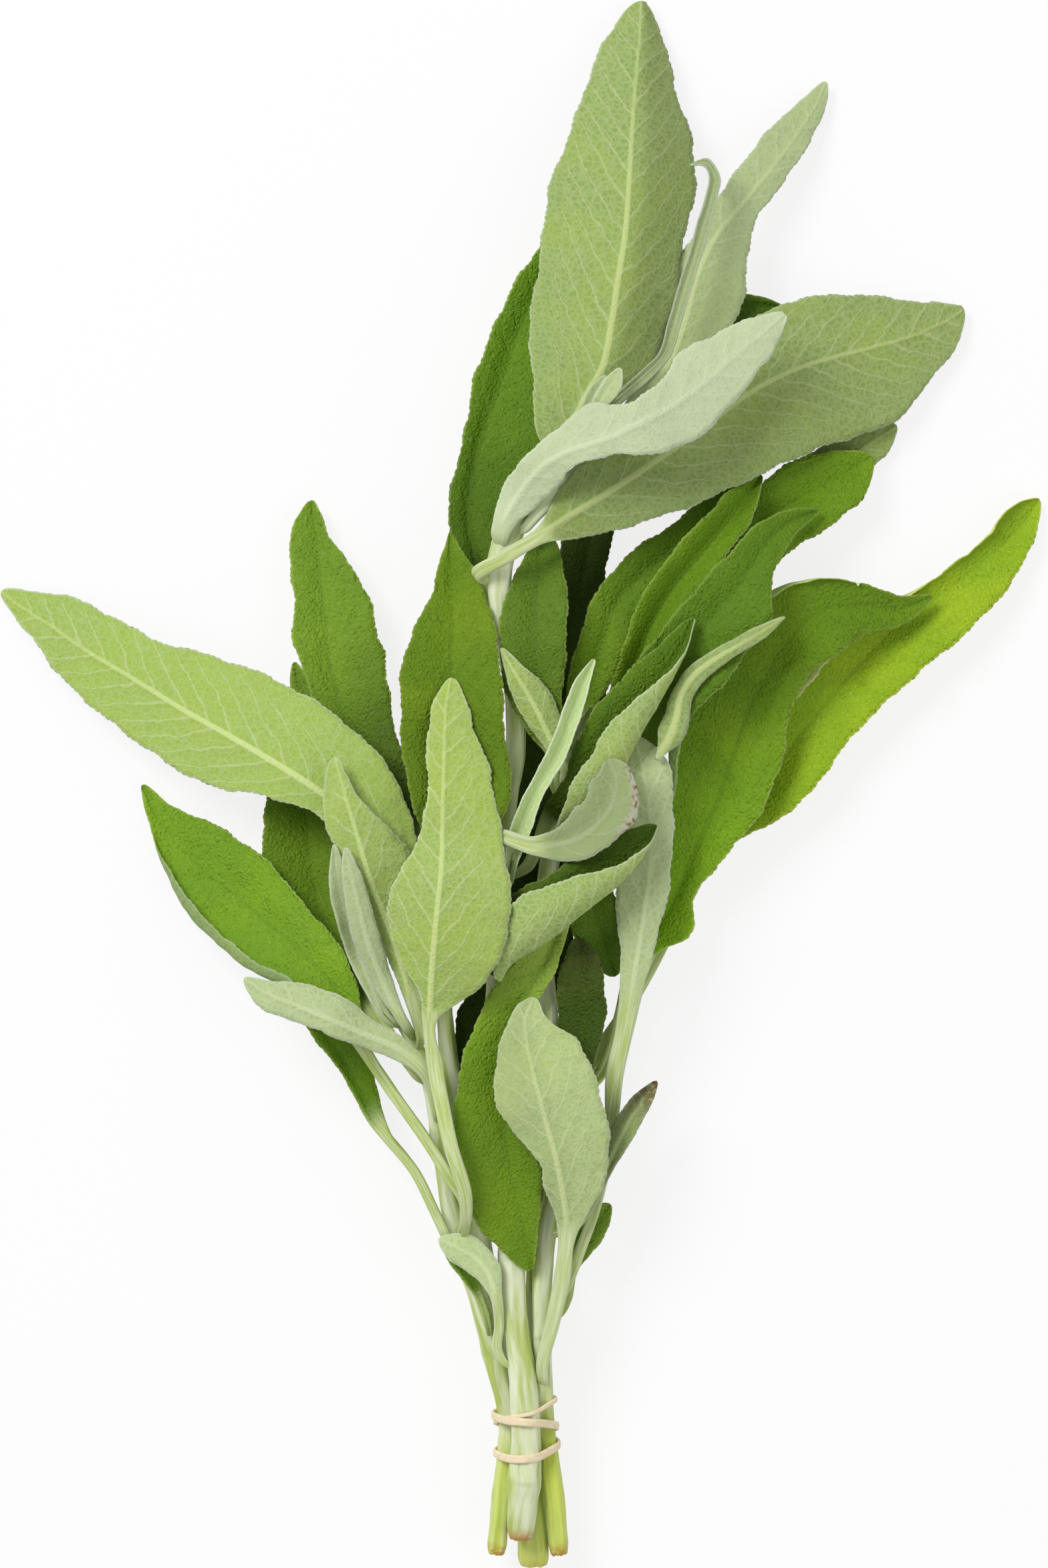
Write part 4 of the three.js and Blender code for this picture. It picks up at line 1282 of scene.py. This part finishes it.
        thickness = thickness * (1 - stalk) + (self.STALK_DEPTH * arch + 0.15) * stalk
        thickness = thickness * (1 - 0.5 * blade.end)
        bottom = top - normal * thickness[..., None]
        skin = self._closed(top, bottom, blade, self._marks(blade, seed, rib))
        # the leaf's own tone with painted light and shade, for each place and for the tip
        shades = np.concatenate(self._shades(blade), axis=1)
        skin.marks["tone_and_shade"] = np.append(shades, self.tone_and_shade)
        return skin

    def _cut_teeth(self, blade: Blade, rng: np.random.Generator) -> None:
        """Pushes the outermost columns outwards to teeth and a wandering outline.

        Args:
            blade: the leaf's blade, whose points are moved.
            rng: the leaf's irregularity.
        """
        along, grown = blade.along[:, 0], 1 - blade.stalk[:, 0]
        room = np.clip(blade.mean_reach[:, 0] / 4 - 0.2, 0, 1)
        for column, inner in ((0, 1), (-1, -2)):
            outwards = unit(blade.points[:, column] - blade.points[:, inner])
            pitch = self.TOOTH_PITCH * (1 + 0.18 * wander(rng, along, self.TOOTH_SWAY))
            phase = np.cumsum(np.gradient(along) / pitch) + rng.uniform(0, 1)
            teeth = self.tooth * (np.abs(np.sin(np.pi * phase)) * 1.4 - 0.7)
            drift = self.WANDERING * wander(rng, along, self.OUTLINE_SWAY)
            push = (teeth + drift) * grown * room * (1 - 0.7 * blade.end[:, 0])
            blade.points[:, column] += outwards * push[:, None]
            blade.points[:, inner] += outwards * (0.45 * drift * grown)[:, None]

    @staticmethod
    def _relief(blade: Blade, seed: float, rib: np.ndarray, ridge: np.ndarray,
                raised: bool) -> np.ndarray:
        """Raises or sinks the midrib and the side veins.

        Args:
            blade: the leaf's blade.
            seed: the leaf's own number.
            rib: how thick the midrib is.
            ridge: how much of the midrib each place is.
            raised: whether the veins stand up, as they do on an underside.

        Returns:
            The height of each place.
        """
        share, reach = blade.share, blade.reach
        number = VEINS.course(blade.across, blade.along, seed)
        off = np.abs(number - np.round(number)) * VEINS.spacing * VEINS.lean
        vein = np.exp(-(off / 0.5) ** 2) * ramp(1.5, 3.0, reach) * (1 - ramp(0.6, 1.0, share))
        swell = (1 - vein) * ramp(0.0, 0.35, share) * (1 - ramp(0.75, 1.0, share))
        swell = swell * np.clip(reach / 6, 0, 1)
        if raised:
            return 0.55 * rib * ridge + 0.05 * vein * (1 - ridge) - 0.14 * swell
        return -0.5 * ridge * rib - 0.03 * vein + 0.08 * swell

    def _marks(self, blade: Blade, seed: float, rib: np.ndarray) -> dict[str, np.ndarray]:
        """Gathers the numbers that the finish reads.

        Args:
            blade: the leaf's blade.
            seed: the leaf's own number.
            rib: how thick the midrib is.

        Returns:
            The numbers under their names, for each place or for all.
        """
        along, height = blade.along, blade.height
        edge = np.minimum(blade.reach - np.abs(blade.across), along[-1] - along + self.TIP_LENGTH)
        torn = (blade.across * self.frayed > 0) * ramp(0.72, 0.86, blade.share)
        return {
            "edge": edge, "reach": blade.mean_reach, "rib": rib, "seed": np.array(seed),
            "stalk": blade.stalk, "warm": self.warm * (1 - blade.stalk),
            "fresh": np.array(self.fresh),
            # down, with painted light on the lower half of some leaves
            "pale": np.clip(self.pale + self.foot_down_and_light * (1 - ramp(0.15, 0.5, height)), 0, 1),
            "scorch": self.scorch * ramp(0.72, 1.0, height),
            "torn": torn * (ramp(0.7, 0.78, height) * (1 - ramp(0.93, 0.98, height))),
        }

    def _shades(self, blade: Blade) -> tuple[np.ndarray, np.ndarray]:
        """Paints light and shade on the leaf, over its own tone.

        Args:
            blade: the leaf's blade.

        Returns:
            The tone and painted shade of the upper grid, and of the lower one from right to left.
        """
        # painted shade and painted light towards the foot, fading out along the blade
        foot = self.tone_and_shade if self.foot_light_and_shade is None else self.foot_light_and_shade
        shade = self.tone_and_shade + (foot - self.tone_and_shade) * (1 - ramp(0.1, 0.75, blade.height))
        # each half's own tone, with painted shade on a half that tilts away from the light, growing
        # from the midrib outwards
        shade = shade + np.where(blade.across < 0, *self.side_tone_and_shade) * ramp(0.0, 0.4, blade.share)
        shade = shade * (1 - 0.9 * blade.stalk)
        # the face beneath: its own tone with painted light and shade
        hidden = shade if self.hidden_tone_and_shade is None else np.full_like(shade, self.hidden_tone_and_shade)
        return shade, hidden[:, ::-1]

    def _closed(self, top: np.ndarray, bottom: np.ndarray, blade: Blade,
                marks: dict[str, np.ndarray]) -> Skin:
        """Joins an upper and a lower grid, a tip and a foot to one closed surface.

        Args:
            top: the upper grid.
            bottom: the lower grid.
            blade: the leaf's blade.
            marks: the numbers for its places.

        Returns:
            The surface, in metres.
        """
        rows, columns = blade.across.shape
        around, middle = 2 * columns, columns // 2
        points = blade.points
        heading = unit(points[-1, middle] - points[-3, middle])
        tip = points[-1].mean(0) + heading * 0.25

        def loop(upper: np.ndarray, lower: np.ndarray) -> np.ndarray:
            """Runs once around each row: left to right above, and back below."""
            return np.concatenate([upper, lower[:, ::-1]], axis=1)

        flat = {}
        for name, values in {"across": blade.across, "along": blade.along, **marks}.items():
            values = np.broadcast_to(values, blade.across.shape)
            line = loop(values, values).reshape(-1)
            flat[name] = np.append(line, line[-columns // 2])
        grid = np.stack([flat.pop("across"), flat.pop("along")], axis=1)
        grid[-1] = 0.0, blade.along[-1, 0] + self.TIP_LENGTH
        faces = weave(rows, around)
        last, tip_index = (rows - 1) * around, rows * around
        faces += [(last + k, last + (k + 1) % around, tip_index) for k in range(around)]
        faces.append(tuple(range(around))[::-1])
        kinds = [0 if k < columns - 1 or k == around - 1 else 1 for k in range(around)]
        body = np.vstack([loop(top, bottom).reshape(-1, 3), tip[None]])
        return Skin(body * MM, faces, grid, flat, kinds * rows + [0])


# Each leaf's tone-and-shade numbers hold its own tone with painted light and shade: darker feet and
# halves are painted shade, lighter ones painted light.
LEAVES: tuple[Leaf, ...] = (
    Leaf("long_right_leaf", Side.UPPER, tone_and_shade=1.6, warm=0.6, foot_light_and_shade=1.6, side_tone_and_shade=(0.0, 0.3)),
    Leaf("crown_back_leaf", Side.DARK, tone_and_shade=0.9, foot_light_and_shade=-1.3),
    # this leaf is very dark: painted shade deep in the pile
    Leaf("hidden_upright_leaf", Side.DARK, tone_and_shade=-2.4, foot_light_and_shade=-2.5),
    Leaf("notch_leaf", Side.DARK, tone_and_shade=-0.8),
    Leaf("back_tip_leaf", Side.UNDER, tone_and_shade=-0.6, fresh=0.4),
    Leaf("east_leaf", Side.UPPER, tone_and_shade=-0.5, foot_light_and_shade=2.8, hidden_tone_and_shade=1.2, wider=(0.14, 62, 12)),
    Leaf("upper_east_leaf", Side.UPPER, tone_and_shade=0.0, foot_light_and_shade=-0.4),
    Leaf("inner_upright_leaf", Side.DARK, tone_and_shade=-0.3, foot_light_and_shade=-0.8, pale=0.12),
    Leaf("centre_fan_leaf", Side.DARK, tone_and_shade=0.5, warm=0.2),
    Leaf("folded_fan_leaf", Side.UPPER, tone_and_shade=-0.3, foot_light_and_shade=-0.8),
    Leaf("twisted_leaf", Side.DARK, tone_and_shade=0.1, foot_light_and_shade=-0.7),
    Leaf("hanging_leaf", Side.DARK, tone_and_shade=-0.9, foot_light_and_shade=-1.8),
    Leaf("olive_leaf", Side.DARK, tone_and_shade=-1.9, pale=0.12, foot_light_and_shade=-2.4, scorch=0.35,
         side_tone_and_shade=(0.0, -0.2)),
    Leaf("low_right_leaf", Side.DARK, tone_and_shade=0.5, pale=0.2),
    Leaf("low_left_back_leaf", Side.DARK, tone_and_shade=0.2, pale=0.1),
    Leaf("narrow_dark_leaf", Side.DARK, tone_and_shade=0.8, foot_light_and_shade=0.2),
    Leaf("west_back_leaf", Side.DARK, tone_and_shade=0.4, warm=0.3, foot_light_and_shade=-0.6),
    Leaf("small_west_leaf", Side.DARK, tone_and_shade=0.6, pale=0.2),
    Leaf("north_west_leaf", Side.DARK, tone_and_shade=1.3, foot_light_and_shade=-2.5, warm=0.1, pale=0.1,
         side_tone_and_shade=(0.0, -0.3)),
    Leaf("small_pale_leaf", Side.UNDER),
    Leaf("north_east_leaf", Side.UNDER, tone_and_shade=-0.3, foot_light_and_shade=0.6, pale=0.45, foot_down_and_light=0.5),
    Leaf("crown_leaf", Side.UNDER, tone_and_shade=-0.3, side_tone_and_shade=(0.1, -0.9), sag=(0.0, 2.2)),
    Leaf("hooked_leaf", Side.YOUNG, tone_and_shade=-0.9, tooth=0.08, ripple=0.05),
    Leaf("silver_leaf", Side.YOUNG, tone_and_shade=0.2),
    Leaf("ribbon_leaf", Side.UNDER, tone_and_shade=-0.4, flared=0.3),
    Leaf("dark_folded_leaf", Side.DARK, tone_and_shade=-0.4, foot_light_and_shade=-2.4, hidden_tone_and_shade=0.1, ripple=0.1),
    Leaf("slender_leaf", Side.YOUNG, tone_and_shade=0.8, fresh=0.3, tooth=0.12, ripple=0.1),
    Leaf("drooping_leaf", Side.UPPER, tone_and_shade=-0.5, foot_light_and_shade=0.7, pale=0.05, foot_down_and_light=0.8),
    Leaf("pocket_leaf", Side.DARK, tone_and_shade=-1.4, hidden_tone_and_shade=0.2, ripple=0.1, loose=True),
    Leaf("curled_leaf", Side.YOUNG, tone_and_shade=-1.1, hidden_tone_and_shade=0.0, frayed=1, fresh=1.0),
    Leaf("west_leaf", Side.UNDER, tone_and_shade=0.1, warm=-0.05, fresh=0.75),
    Leaf("centre_leaf", Side.UPPER, tone_and_shade=-0.7, foot_light_and_shade=-1.5, warm=0.15),
    Leaf("lower_west_leaf", Side.UPPER, tone_and_shade=0.5, foot_light_and_shade=-0.3, hidden_tone_and_shade=-0.8, warm=-0.2,
         pale=0.08),
    Leaf("pale_folded_leaf", Side.UNDER, tone_and_shade=0.1, fresh=0.5),
    Leaf("young_left_leaf", Side.YOUNG, tone_and_shade=-0.3),
    Leaf("young_right_leaf", Side.YOUNG, tone_and_shade=-0.3),
    Leaf("pale_west_leaf", Side.YOUNG, tone_and_shade=0.0),
    Leaf("front_leaf", Side.UNDER, tone_and_shade=0.2, fresh=0.5),
    Leaf("browned_leaf", Side.UNDER, tone_and_shade=-0.9, scorch=1.0, pale=0.2, side_tone_and_shade=(-1.3, 0.0)),
    Leaf("low_front_leaf", Side.UNDER, pale=0.32, fresh=0.2, side_tone_and_shade=(-0.2, 0.35)),
    Leaf("low_left_leaf", Side.YOUNG, tone_and_shade=0.4),
    Leaf("broad_east_leaf", Side.UNDER, tone_and_shade=-0.5, foot_light_and_shade=-1.0, run=0.1),
    Leaf("bud_leaf_left", Side.YOUNG, tooth=0.08),
    Leaf("bud_leaf_right", Side.YOUNG, tooth=0.08),
    Leaf("young_crown_leaf", Side.YOUNG, tone_and_shade=0.1, pale=0.4, wider=(0.55, 14, 9)),
)




# ---- stems and band -------------------------------------------------------------------------


@dataclass
class Stem:
    """One square, downy stem with its cut end. Lengths are in millimetres."""

    node: str
    bare: float = 0.0
    """How much of its lower end has lost its down."""
    scar: float = 0.6
    """How brown its cut end is."""
    joints: tuple[float, ...] = ()
    """Where along the bunch it swells, because leaves stood there."""

    ROW = 0.8
    """Between two rings."""
    AROUND = 32
    """Points in a ring."""
    TRIM = 0.7
    """How much is left off at the cut end."""
    UNEVEN = 0.035
    """How much thicker and thinner it gets along its length, as a share."""
    UNEVEN_LENGTH = 22.0
    SWELLING = 0.13
    """How much thicker it is where leaves stood, as a share."""
    SWELLING_LENGTH = 1.8
    SQUARE = 0.055
    """How far its four sides are from round, as a share of its radius."""
    TWIST = 0.35
    """How far its sides turn along its length, in radians."""
    TWIST_LENGTH = 60.0

    def build(self, spine: Spine, seed: int) -> bpy.types.Object:
        """Builds the stem and hands it to the frame.

        Args:
            spine: its middle line.
            seed: the stem's own number.

        Returns:
            The stem's object.
        """
        rng = np.random.default_rng(seed)
        centres = spine.centres / MM
        knots = lengths(centres)
        at = np.linspace(self.TRIM, knots[-1], int(knots[-1] / self.ROW))
        line = spline(knots, centres, at)
        uneven = wander(rng, at, self.UNEVEN_LENGTH)
        radius = spline(knots, spine.radii / MM, at) * (1 + self.UNEVEN * uneven)
        radius *= 0.86 + 0.14 * ramp(0.0, 1.4, at - self.TRIM)
        for height in self.joints:
            bulge = np.exp(-(((line[:, 1] - height) / self.SWELLING_LENGTH) ** 2))
            radius *= 1 + self.SWELLING * bulge
        angles = np.linspace(0, 2 * np.pi, self.AROUND, endpoint=False)
        turned = angles[None] + self.TWIST * wander(rng, at, self.TWIST_LENGTH)[:, None]
        corner = np.cos(4 * turned)
        ridges = 0.03 * np.cos(12 * turned + 1.3) + 0.02 * np.cos(20 * turned + 0.4)
        size = radius[:, None] * (1 - self.SQUARE * corner + ridges)
        forward = unit(np.gradient(line, axis=0))
        sideways = unit(np.cross(forward, np.array([0.0, 0.0, 1.0])))
        outwards = np.cross(sideways, forward)
        points = (line[:, None] + sideways[:, None] * (size * np.cos(angles))[..., None]
                  + outwards[:, None] * (size * np.sin(angles))[..., None])
        # painted shade in the grooves between the sides, and in the crease above each node
        groove_shade = np.clip(corner, 0, 1) * 0.6 + np.clip(-ridges / 0.05, 0, 1) * 0.5
        for height in self.joints:
            past = line[:, 1][:, None] + 0.35 * np.sin(2 * turned + height) - height - 0.4
            groove_shade = groove_shade + 1.6 * np.exp(-((past / 0.35) ** 2))
        along = np.broadcast_to(at[:, None], size.shape)
        jag = 0.25 * rng.normal(size=self.AROUND)
        skin = self._capped(points, radius[:, None] * angles[None], along, groove_shade, jag)
        skin.marks["seed"] = np.full(len(skin.points), float(seed + 100))
        piece = skin.build(f"{self.node}_bark", [Shelf.take(STEM_BARK)])
        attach(piece, "root")
        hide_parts(self.node)
        return piece

    def _capped(self, points: np.ndarray, around: np.ndarray, along: np.ndarray,
                groove_shade: np.ndarray, jag: np.ndarray) -> Skin:
        """Closes a tube with a cut face at its foot and a rounded end.

        Args:
            points: the rings of the tube.
            around: distances around it.
            along: distances along it.
            groove_shade: how deep each place lies, for the painted shade in the grooves.
            jag: how ragged the rim of the cut is.

        Returns:
            The surface, in metres.
        """
        rings, corners = around.shape
        foot, top = points[0].mean(0), points[-1].mean(0)
        back, onward = foot - points[3].mean(0), top - points[-4].mean(0)
        cut = foot + (points[0] - foot) * 0.55 + back * 0.05
        rim = foot + (points[0] - foot) * 0.9 + back * 0.06
        rim = rim + unit(points[0] - points[3]) * jag[:, None] * 0.4
        ends = [top + (points[-1] - top) * share + onward * lift
                for share, lift in ((0.8, 0.25), (0.45, 0.42))]
        hubs = [[foot + back * 0.03], [top + onward * 0.5]]
        body = np.concatenate([cut, rim, *points, *ends, *hubs])
        count = rings + 4
        # a weave's faces look inwards here, so they are turned over
        faces: list[tuple[int, ...]] = [(b, a, d, c) for a, b, c, d in weave(count, corners)]
        hub, last = count * corners, (count - 1) * corners
        for k in range(corners):
            beside = (k + 1) % corners
            faces += [(k, beside, hub), (last + beside, last + k, hub + 1)]

        def spread(values: np.ndarray, first: float, final: float) -> np.ndarray:
            """Gives the two rings and the hub that were added at either end their numbers.

            Args:
                values: the numbers of the tube's own rings.
                first: the number at the foot.
                final: the number at the far end.

            Returns:
                The numbers of the whole body.
            """
            added = ((first, final), (0, 0))
            wide = np.pad(values, ((2, 2), (0, 0)), constant_values=added)
            return np.append(wide, [first, final])

        sides = np.append(np.pad(around, ((2, 2), (0, 0)), mode="edge"), [0, 0])
        blade = np.stack([sides, spread(along, -0.3, float(along[-1, 0]) + 0.5)], axis=-1)
        marks = {
            "groove_shade": spread(groove_shade, 0.0, 0.0),
            "cut": spread(np.zeros_like(along), 1.0, 0.0),
            "bare": spread(self.bare * (1 - ramp(14, 32, along)), self.bare, 0.0),
            "scar": spread(self.scar * (1 - ramp(0.5, 3.6, along)), self.scar, 0.0),
        }
        return Skin(body * MM, faces, blade, marks)


STEMS: tuple[Stem, ...] = (
    Stem("right_sprig_stem", bare=0.95, scar=0.35, joints=(-63.0,)),
    Stem("lower_sprig_stem", bare=1.0, scar=1.0, joints=(-99.0,)),
    Stem("hidden_sprig_stem", scar=0.0, joints=(-70.0,)),
    Stem("left_sprig_stem", bare=0.8, scar=0.9, joints=(-101.6, -62.0)),
    Stem("crown_sprig_stem", bare=0.05, scar=1.0, joints=(-124.5, -84.0, -40.0, 27.0)),
)


@dataclass
class RubberBand:
    """A rubber band wound around the stems, which it pulls together. Lengths are in millimetres."""

    width: float = 1.45
    thickness: float = 0.6
    slack: float = 0.1
    """Between the band and the roundest of the stems, for their ridges."""
    windings: tuple[tuple[float, float, float, float], ...] = (
        (0.0, 4.2, 0.5, 1.0), (0.5, 3.6, 0.2, 1.0), (1.0, 2.4, 0.0, 1.0), (1.5, 0.2, 0.0, 1.0),
        (2.0, -2.4, 0.0, 1.0), (2.5, -2.9, 0.0, 1.0), (3.0, -0.6, 0.0, 1.0), (3.5, 1.3, 0.7, 0.9),
        (4.0, 3.4, 0.1, 0.6), (4.5, 5.0, 0.0, 0.5), (5.0, 7.5, 0.0, 0.6), (5.5, 6.2, 0.2, 0.9))
    """Half turns from the left over the front; the height on the stems, the lift over another
    winding, and the share of the full width."""

    STEPS = 420
    """Rings along the band."""
    AROUND = 16
    """Points in a ring."""
    FACETS = 96
    """Directions in which the stems' outline is measured."""

    def build(self, spines: dict[str, Spine]) -> bpy.types.Object:
        """Builds the band and hands it to the frame.

        Args:
            spines: the stems' middle lines.

        Returns:
            The band's object.
        """
        line, share = self._line(spines)
        forward = unit(np.roll(line, -1, axis=0) - np.roll(line, 1, axis=0))
        away = (line - line.mean(0)) * np.array([1.0, 0.0, 1.0])
        away = unit(away - forward * (away * forward).sum(1, keepdims=True))
        across = np.cross(forward, away)
        turn = np.linspace(0, 2 * np.pi, self.AROUND, endpoint=False)
        square = 0.5 * (np.abs(np.cos(turn)) ** 4 + np.abs(np.sin(turn)) ** 4) ** -0.25
        thick = self.thickness * (2 - share) ** 0.5
        deep = (square * np.cos(turn))[None] * thick[:, None]
        wide = (square * np.sin(turn))[None] * self.width * share[:, None]
        points = line[:, None] + away[:, None] * deep[..., None] + across[:, None] * wide[..., None]
        faces = weave(self.STEPS, self.AROUND, closed=True)
        run = np.cumsum(np.linalg.norm(line - np.roll(line, 1, axis=0), axis=1))
        blade = np.broadcast_arrays(turn[None] * 0.5 * self.width, run[:, None])
        skin = Skin(points.reshape(-1, 3) * MM, faces, np.stack(blade, axis=-1).reshape(-1, 2))
        piece = skin.build("rubber_band_loop", [Shelf.take(BandFinish())])
        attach(piece, "root")
        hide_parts("rubber_band")
        return piece

    def _line(self, spines: dict[str, Spine]) -> tuple[np.ndarray, np.ndarray]:
        """Winds the band's middle line around the stems.

        Args:
            spines: the stems' middle lines.

        Returns:
            The line, and the share of the full width at each of its places.
        """
        low, high = (np.array(corner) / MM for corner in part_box("rubber_band"))
        table = np.array(self.windings)
        turns = table[-1, 0] + 0.5
        looped = np.vstack([table[-2:] - [turns, 0, 0, 0], table, table[:2] + [turns, 0, 0, 0]])
        at = np.linspace(0, turns, self.STEPS, endpoint=False)
        height, lift, share = spline(looped[:, 0], looped[:, 1:], at).T
        height = height + (low[1] + high[1]) / 2
        line = np.array([self._place(spines, y, angle * np.pi, extra)
                         for y, angle, extra in zip(height, at, lift)])
        for _ in range(3):
            line = (np.roll(line, 1, axis=0) + 2 * line + np.roll(line, -1, axis=0)) / 4
        return line, share

    def _place(self, spines: dict[str, Spine], height: float, angle: float,
               lift: float) -> np.ndarray:
        """Finds where the band lies, stretched around the stems.

        Args:
            spines: the stems' middle lines.
            height: how far along the stems it lies.
            angle: how far round it is, from the left over the front.
            lift: how far it is raised over another winding.

        Returns:
            The place.
        """
        sections = []
        for spine in spines.values():
            centres, radii = spine.centres / MM, spine.radii / MM
            if centres[0, 1] < height:
                sections.append([np.interp(height, centres[:, 1], values)
                                 for values in (centres[:, 0], centres[:, 2], radii)])
        x, z, radius = np.array(sections).T
        middle = np.array([x.mean(), z.mean()])
        facets = np.linspace(0, 2 * np.pi, self.FACETS, endpoint=False)
        faces = np.stack([-np.cos(facets), np.sin(facets)], axis=1)
        support = ((np.stack([x, z], axis=1) - middle) @ faces.T + radius[:, None]).max(0)
        support += self.slack + self.thickness / 2 + lift
        facing = np.cos(facets - angle)
        near = facing > 0.05
        reach = (support[near] / facing[near]).min()
        x, z = middle + reach * np.array([-np.cos(angle), np.sin(angle)])
        return np.array([x, height, z])


# ---- studio ---------------------------------------------------------------------------------


@dataclass(frozen=True)
class Lamp:
    """A soft square lamp that looks at the bunch. Lengths are in metres."""

    name: str
    place: tuple[float, float, float]
    size: float
    power: float
    """In watts."""

    def build(self) -> None:
        """Hangs the lamp."""
        light = bpy.data.lights.new(self.name, "AREA")
        light.size = self.size
        light.energy = self.power
        lamp = bpy.data.objects.new(self.name, light)
        lamp.location = self.place
        lamp.rotation_euler = (-Vector(self.place)).to_track_quat("-Z", "Y").to_euler()
        bpy.context.scene.collection.objects.link(lamp)


@dataclass
class Studio:
    """The pale sheet that the bunch lies on, its soft lamps and the camera above it."""

    lamps: tuple[Lamp, ...] = (
        Lamp("key", (-0.75, 0.75, 1.25), 0.7, 17.0), Lamp("fill", (1.0, -0.5, 1.2), 1.2, 4.5))
    camera_height: float = 1.570
    """Above the sheet, in metres."""
    centre: tuple[float, float] = (0.0007, 0.00011)
    """Where the camera looks straight down, in metres."""
    focal_mm: float = 200.9
    sensor_mm: float = 36.0
    sheet: float = 6.0
    """The side of the square sheet, in metres."""
    sheet_gap: float = 0.0002
    """How far the sheet lies below the lowest leaf."""
    sheet_white: Colour = (0.92, 0.92, 0.92)
    glow_white: Colour = (1.0, 1.0, 1.0)
    sheet_glow: float = 0.82
    """How much of its own white the sheet shows to the eye, over the shadow on it."""
    world_level: float = 0.45
    """How strongly the world lights the bunch."""

    def build(self) -> None:
        """Sets up the sheet, the light and the camera."""
        self._floor()
        self._world()
        for lamp in self.lamps:
            lamp.build()
        self._camera()

    def _floor(self) -> None:
        """Makes the sheet, which keeps the bunch's shadow and is near white to the eye."""
        half = self.sheet / 2
        corners = [(-half, -half, 0), (half, -half, 0), (half, half, 0), (-half, half, 0)]
        mesh = bpy.data.meshes.new("sheet")
        mesh.from_pydata(corners, [], [(0, 1, 2, 3)])
        n = Nodes("sheet_white")
        paper = n.add("ShaderNodeBsdfDiffuse")
        n.put(paper.inputs["Color"], self.sheet_white)
        glow = n.add("ShaderNodeEmission")
        n.put(glow.inputs["Color"], self.glow_white)
        path = n.add("ShaderNodeLightPath").outputs
        mirrored = n.math("MAXIMUM", path["Is Glossy Ray"], path["Is Transmission Ray"])
        seen = n.math("MAXIMUM", path["Is Camera Ray"], mirrored)
        blend = n.add("ShaderNodeMixShader")
        shares = (n.times(seen, self.sheet_glow), paper.outputs[0], glow.outputs[0])
        for socket, value in zip(blend.inputs, shares):
            n.put(socket, value)
        out = n.add("ShaderNodeOutputMaterial")
        n.put(out.inputs["Surface"], blend.outputs[0])
        mesh.materials.append(n.material)
        floor = bpy.data.objects.new("sheet", mesh)
        floor.location.z = -self.sheet_gap
        bpy.context.scene.collection.objects.link(floor)

    def _world(self) -> None:
        """Lights everything evenly and looks white behind the sheet."""
        world = bpy.data.worlds.new("studio")
        world.use_nodes = True
        nodes, links = world.node_tree.nodes, world.node_tree.links
        nodes.clear()
        path = nodes.new("ShaderNodeLightPath")
        glow = nodes.new("ShaderNodeBackground")
        glow.inputs["Color"].default_value = (*self.glow_white, 1.0)
        level = nodes.new("ShaderNodeMapRange")
        level.inputs["To Min"].default_value = self.world_level
        level.inputs["To Max"].default_value = 1.0
        links.new(path.outputs["Is Camera Ray"], level.inputs["Value"])
        links.new(level.outputs["Result"], glow.inputs["Strength"])
        out = nodes.new("ShaderNodeOutputWorld")
        links.new(glow.outputs[0], out.inputs["Surface"])
        bpy.context.scene.world = world

    def _camera(self) -> None:
        """Hangs the camera straight above the bunch."""
        lens = bpy.data.cameras.new("camera")
        lens.sensor_fit = "VERTICAL"
        lens.sensor_height = self.sensor_mm
        lens.lens = self.focal_mm
        lens.clip_end = 20.0
        camera = bpy.data.objects.new("camera", lens)
        camera.location = (*self.centre, self.camera_height)
        bpy.context.scene.collection.objects.link(camera)
        bpy.context.scene.camera = camera


def report(piece: bpy.types.Object) -> None:
    """Logs a finished piece."""
    LOG.info("%s: %d faces", piece.name, len(piece.data.polygons))


def main() -> None:
    """Builds every piece of the bunch, then the studio around it."""
    logging.basicConfig(level=logging.INFO, format="%(name)s: %(message)s")
    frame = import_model()
    bpy.context.scene.view_settings.view_transform = "Standard"
    spines = {stem.node: Spine.read(Solid(frame["nodes"][stem.node])) for stem in STEMS}
    for number, leaf in enumerate(LEAVES, start=1):
        report(leaf.build(frame, spines, number))
    for number, stem in enumerate(STEMS, start=1):
        report(stem.build(spines[stem.node], 100 + number))
    report(RubberBand().build(spines))
    Studio().build()


if __name__ == "__main__":
    main()
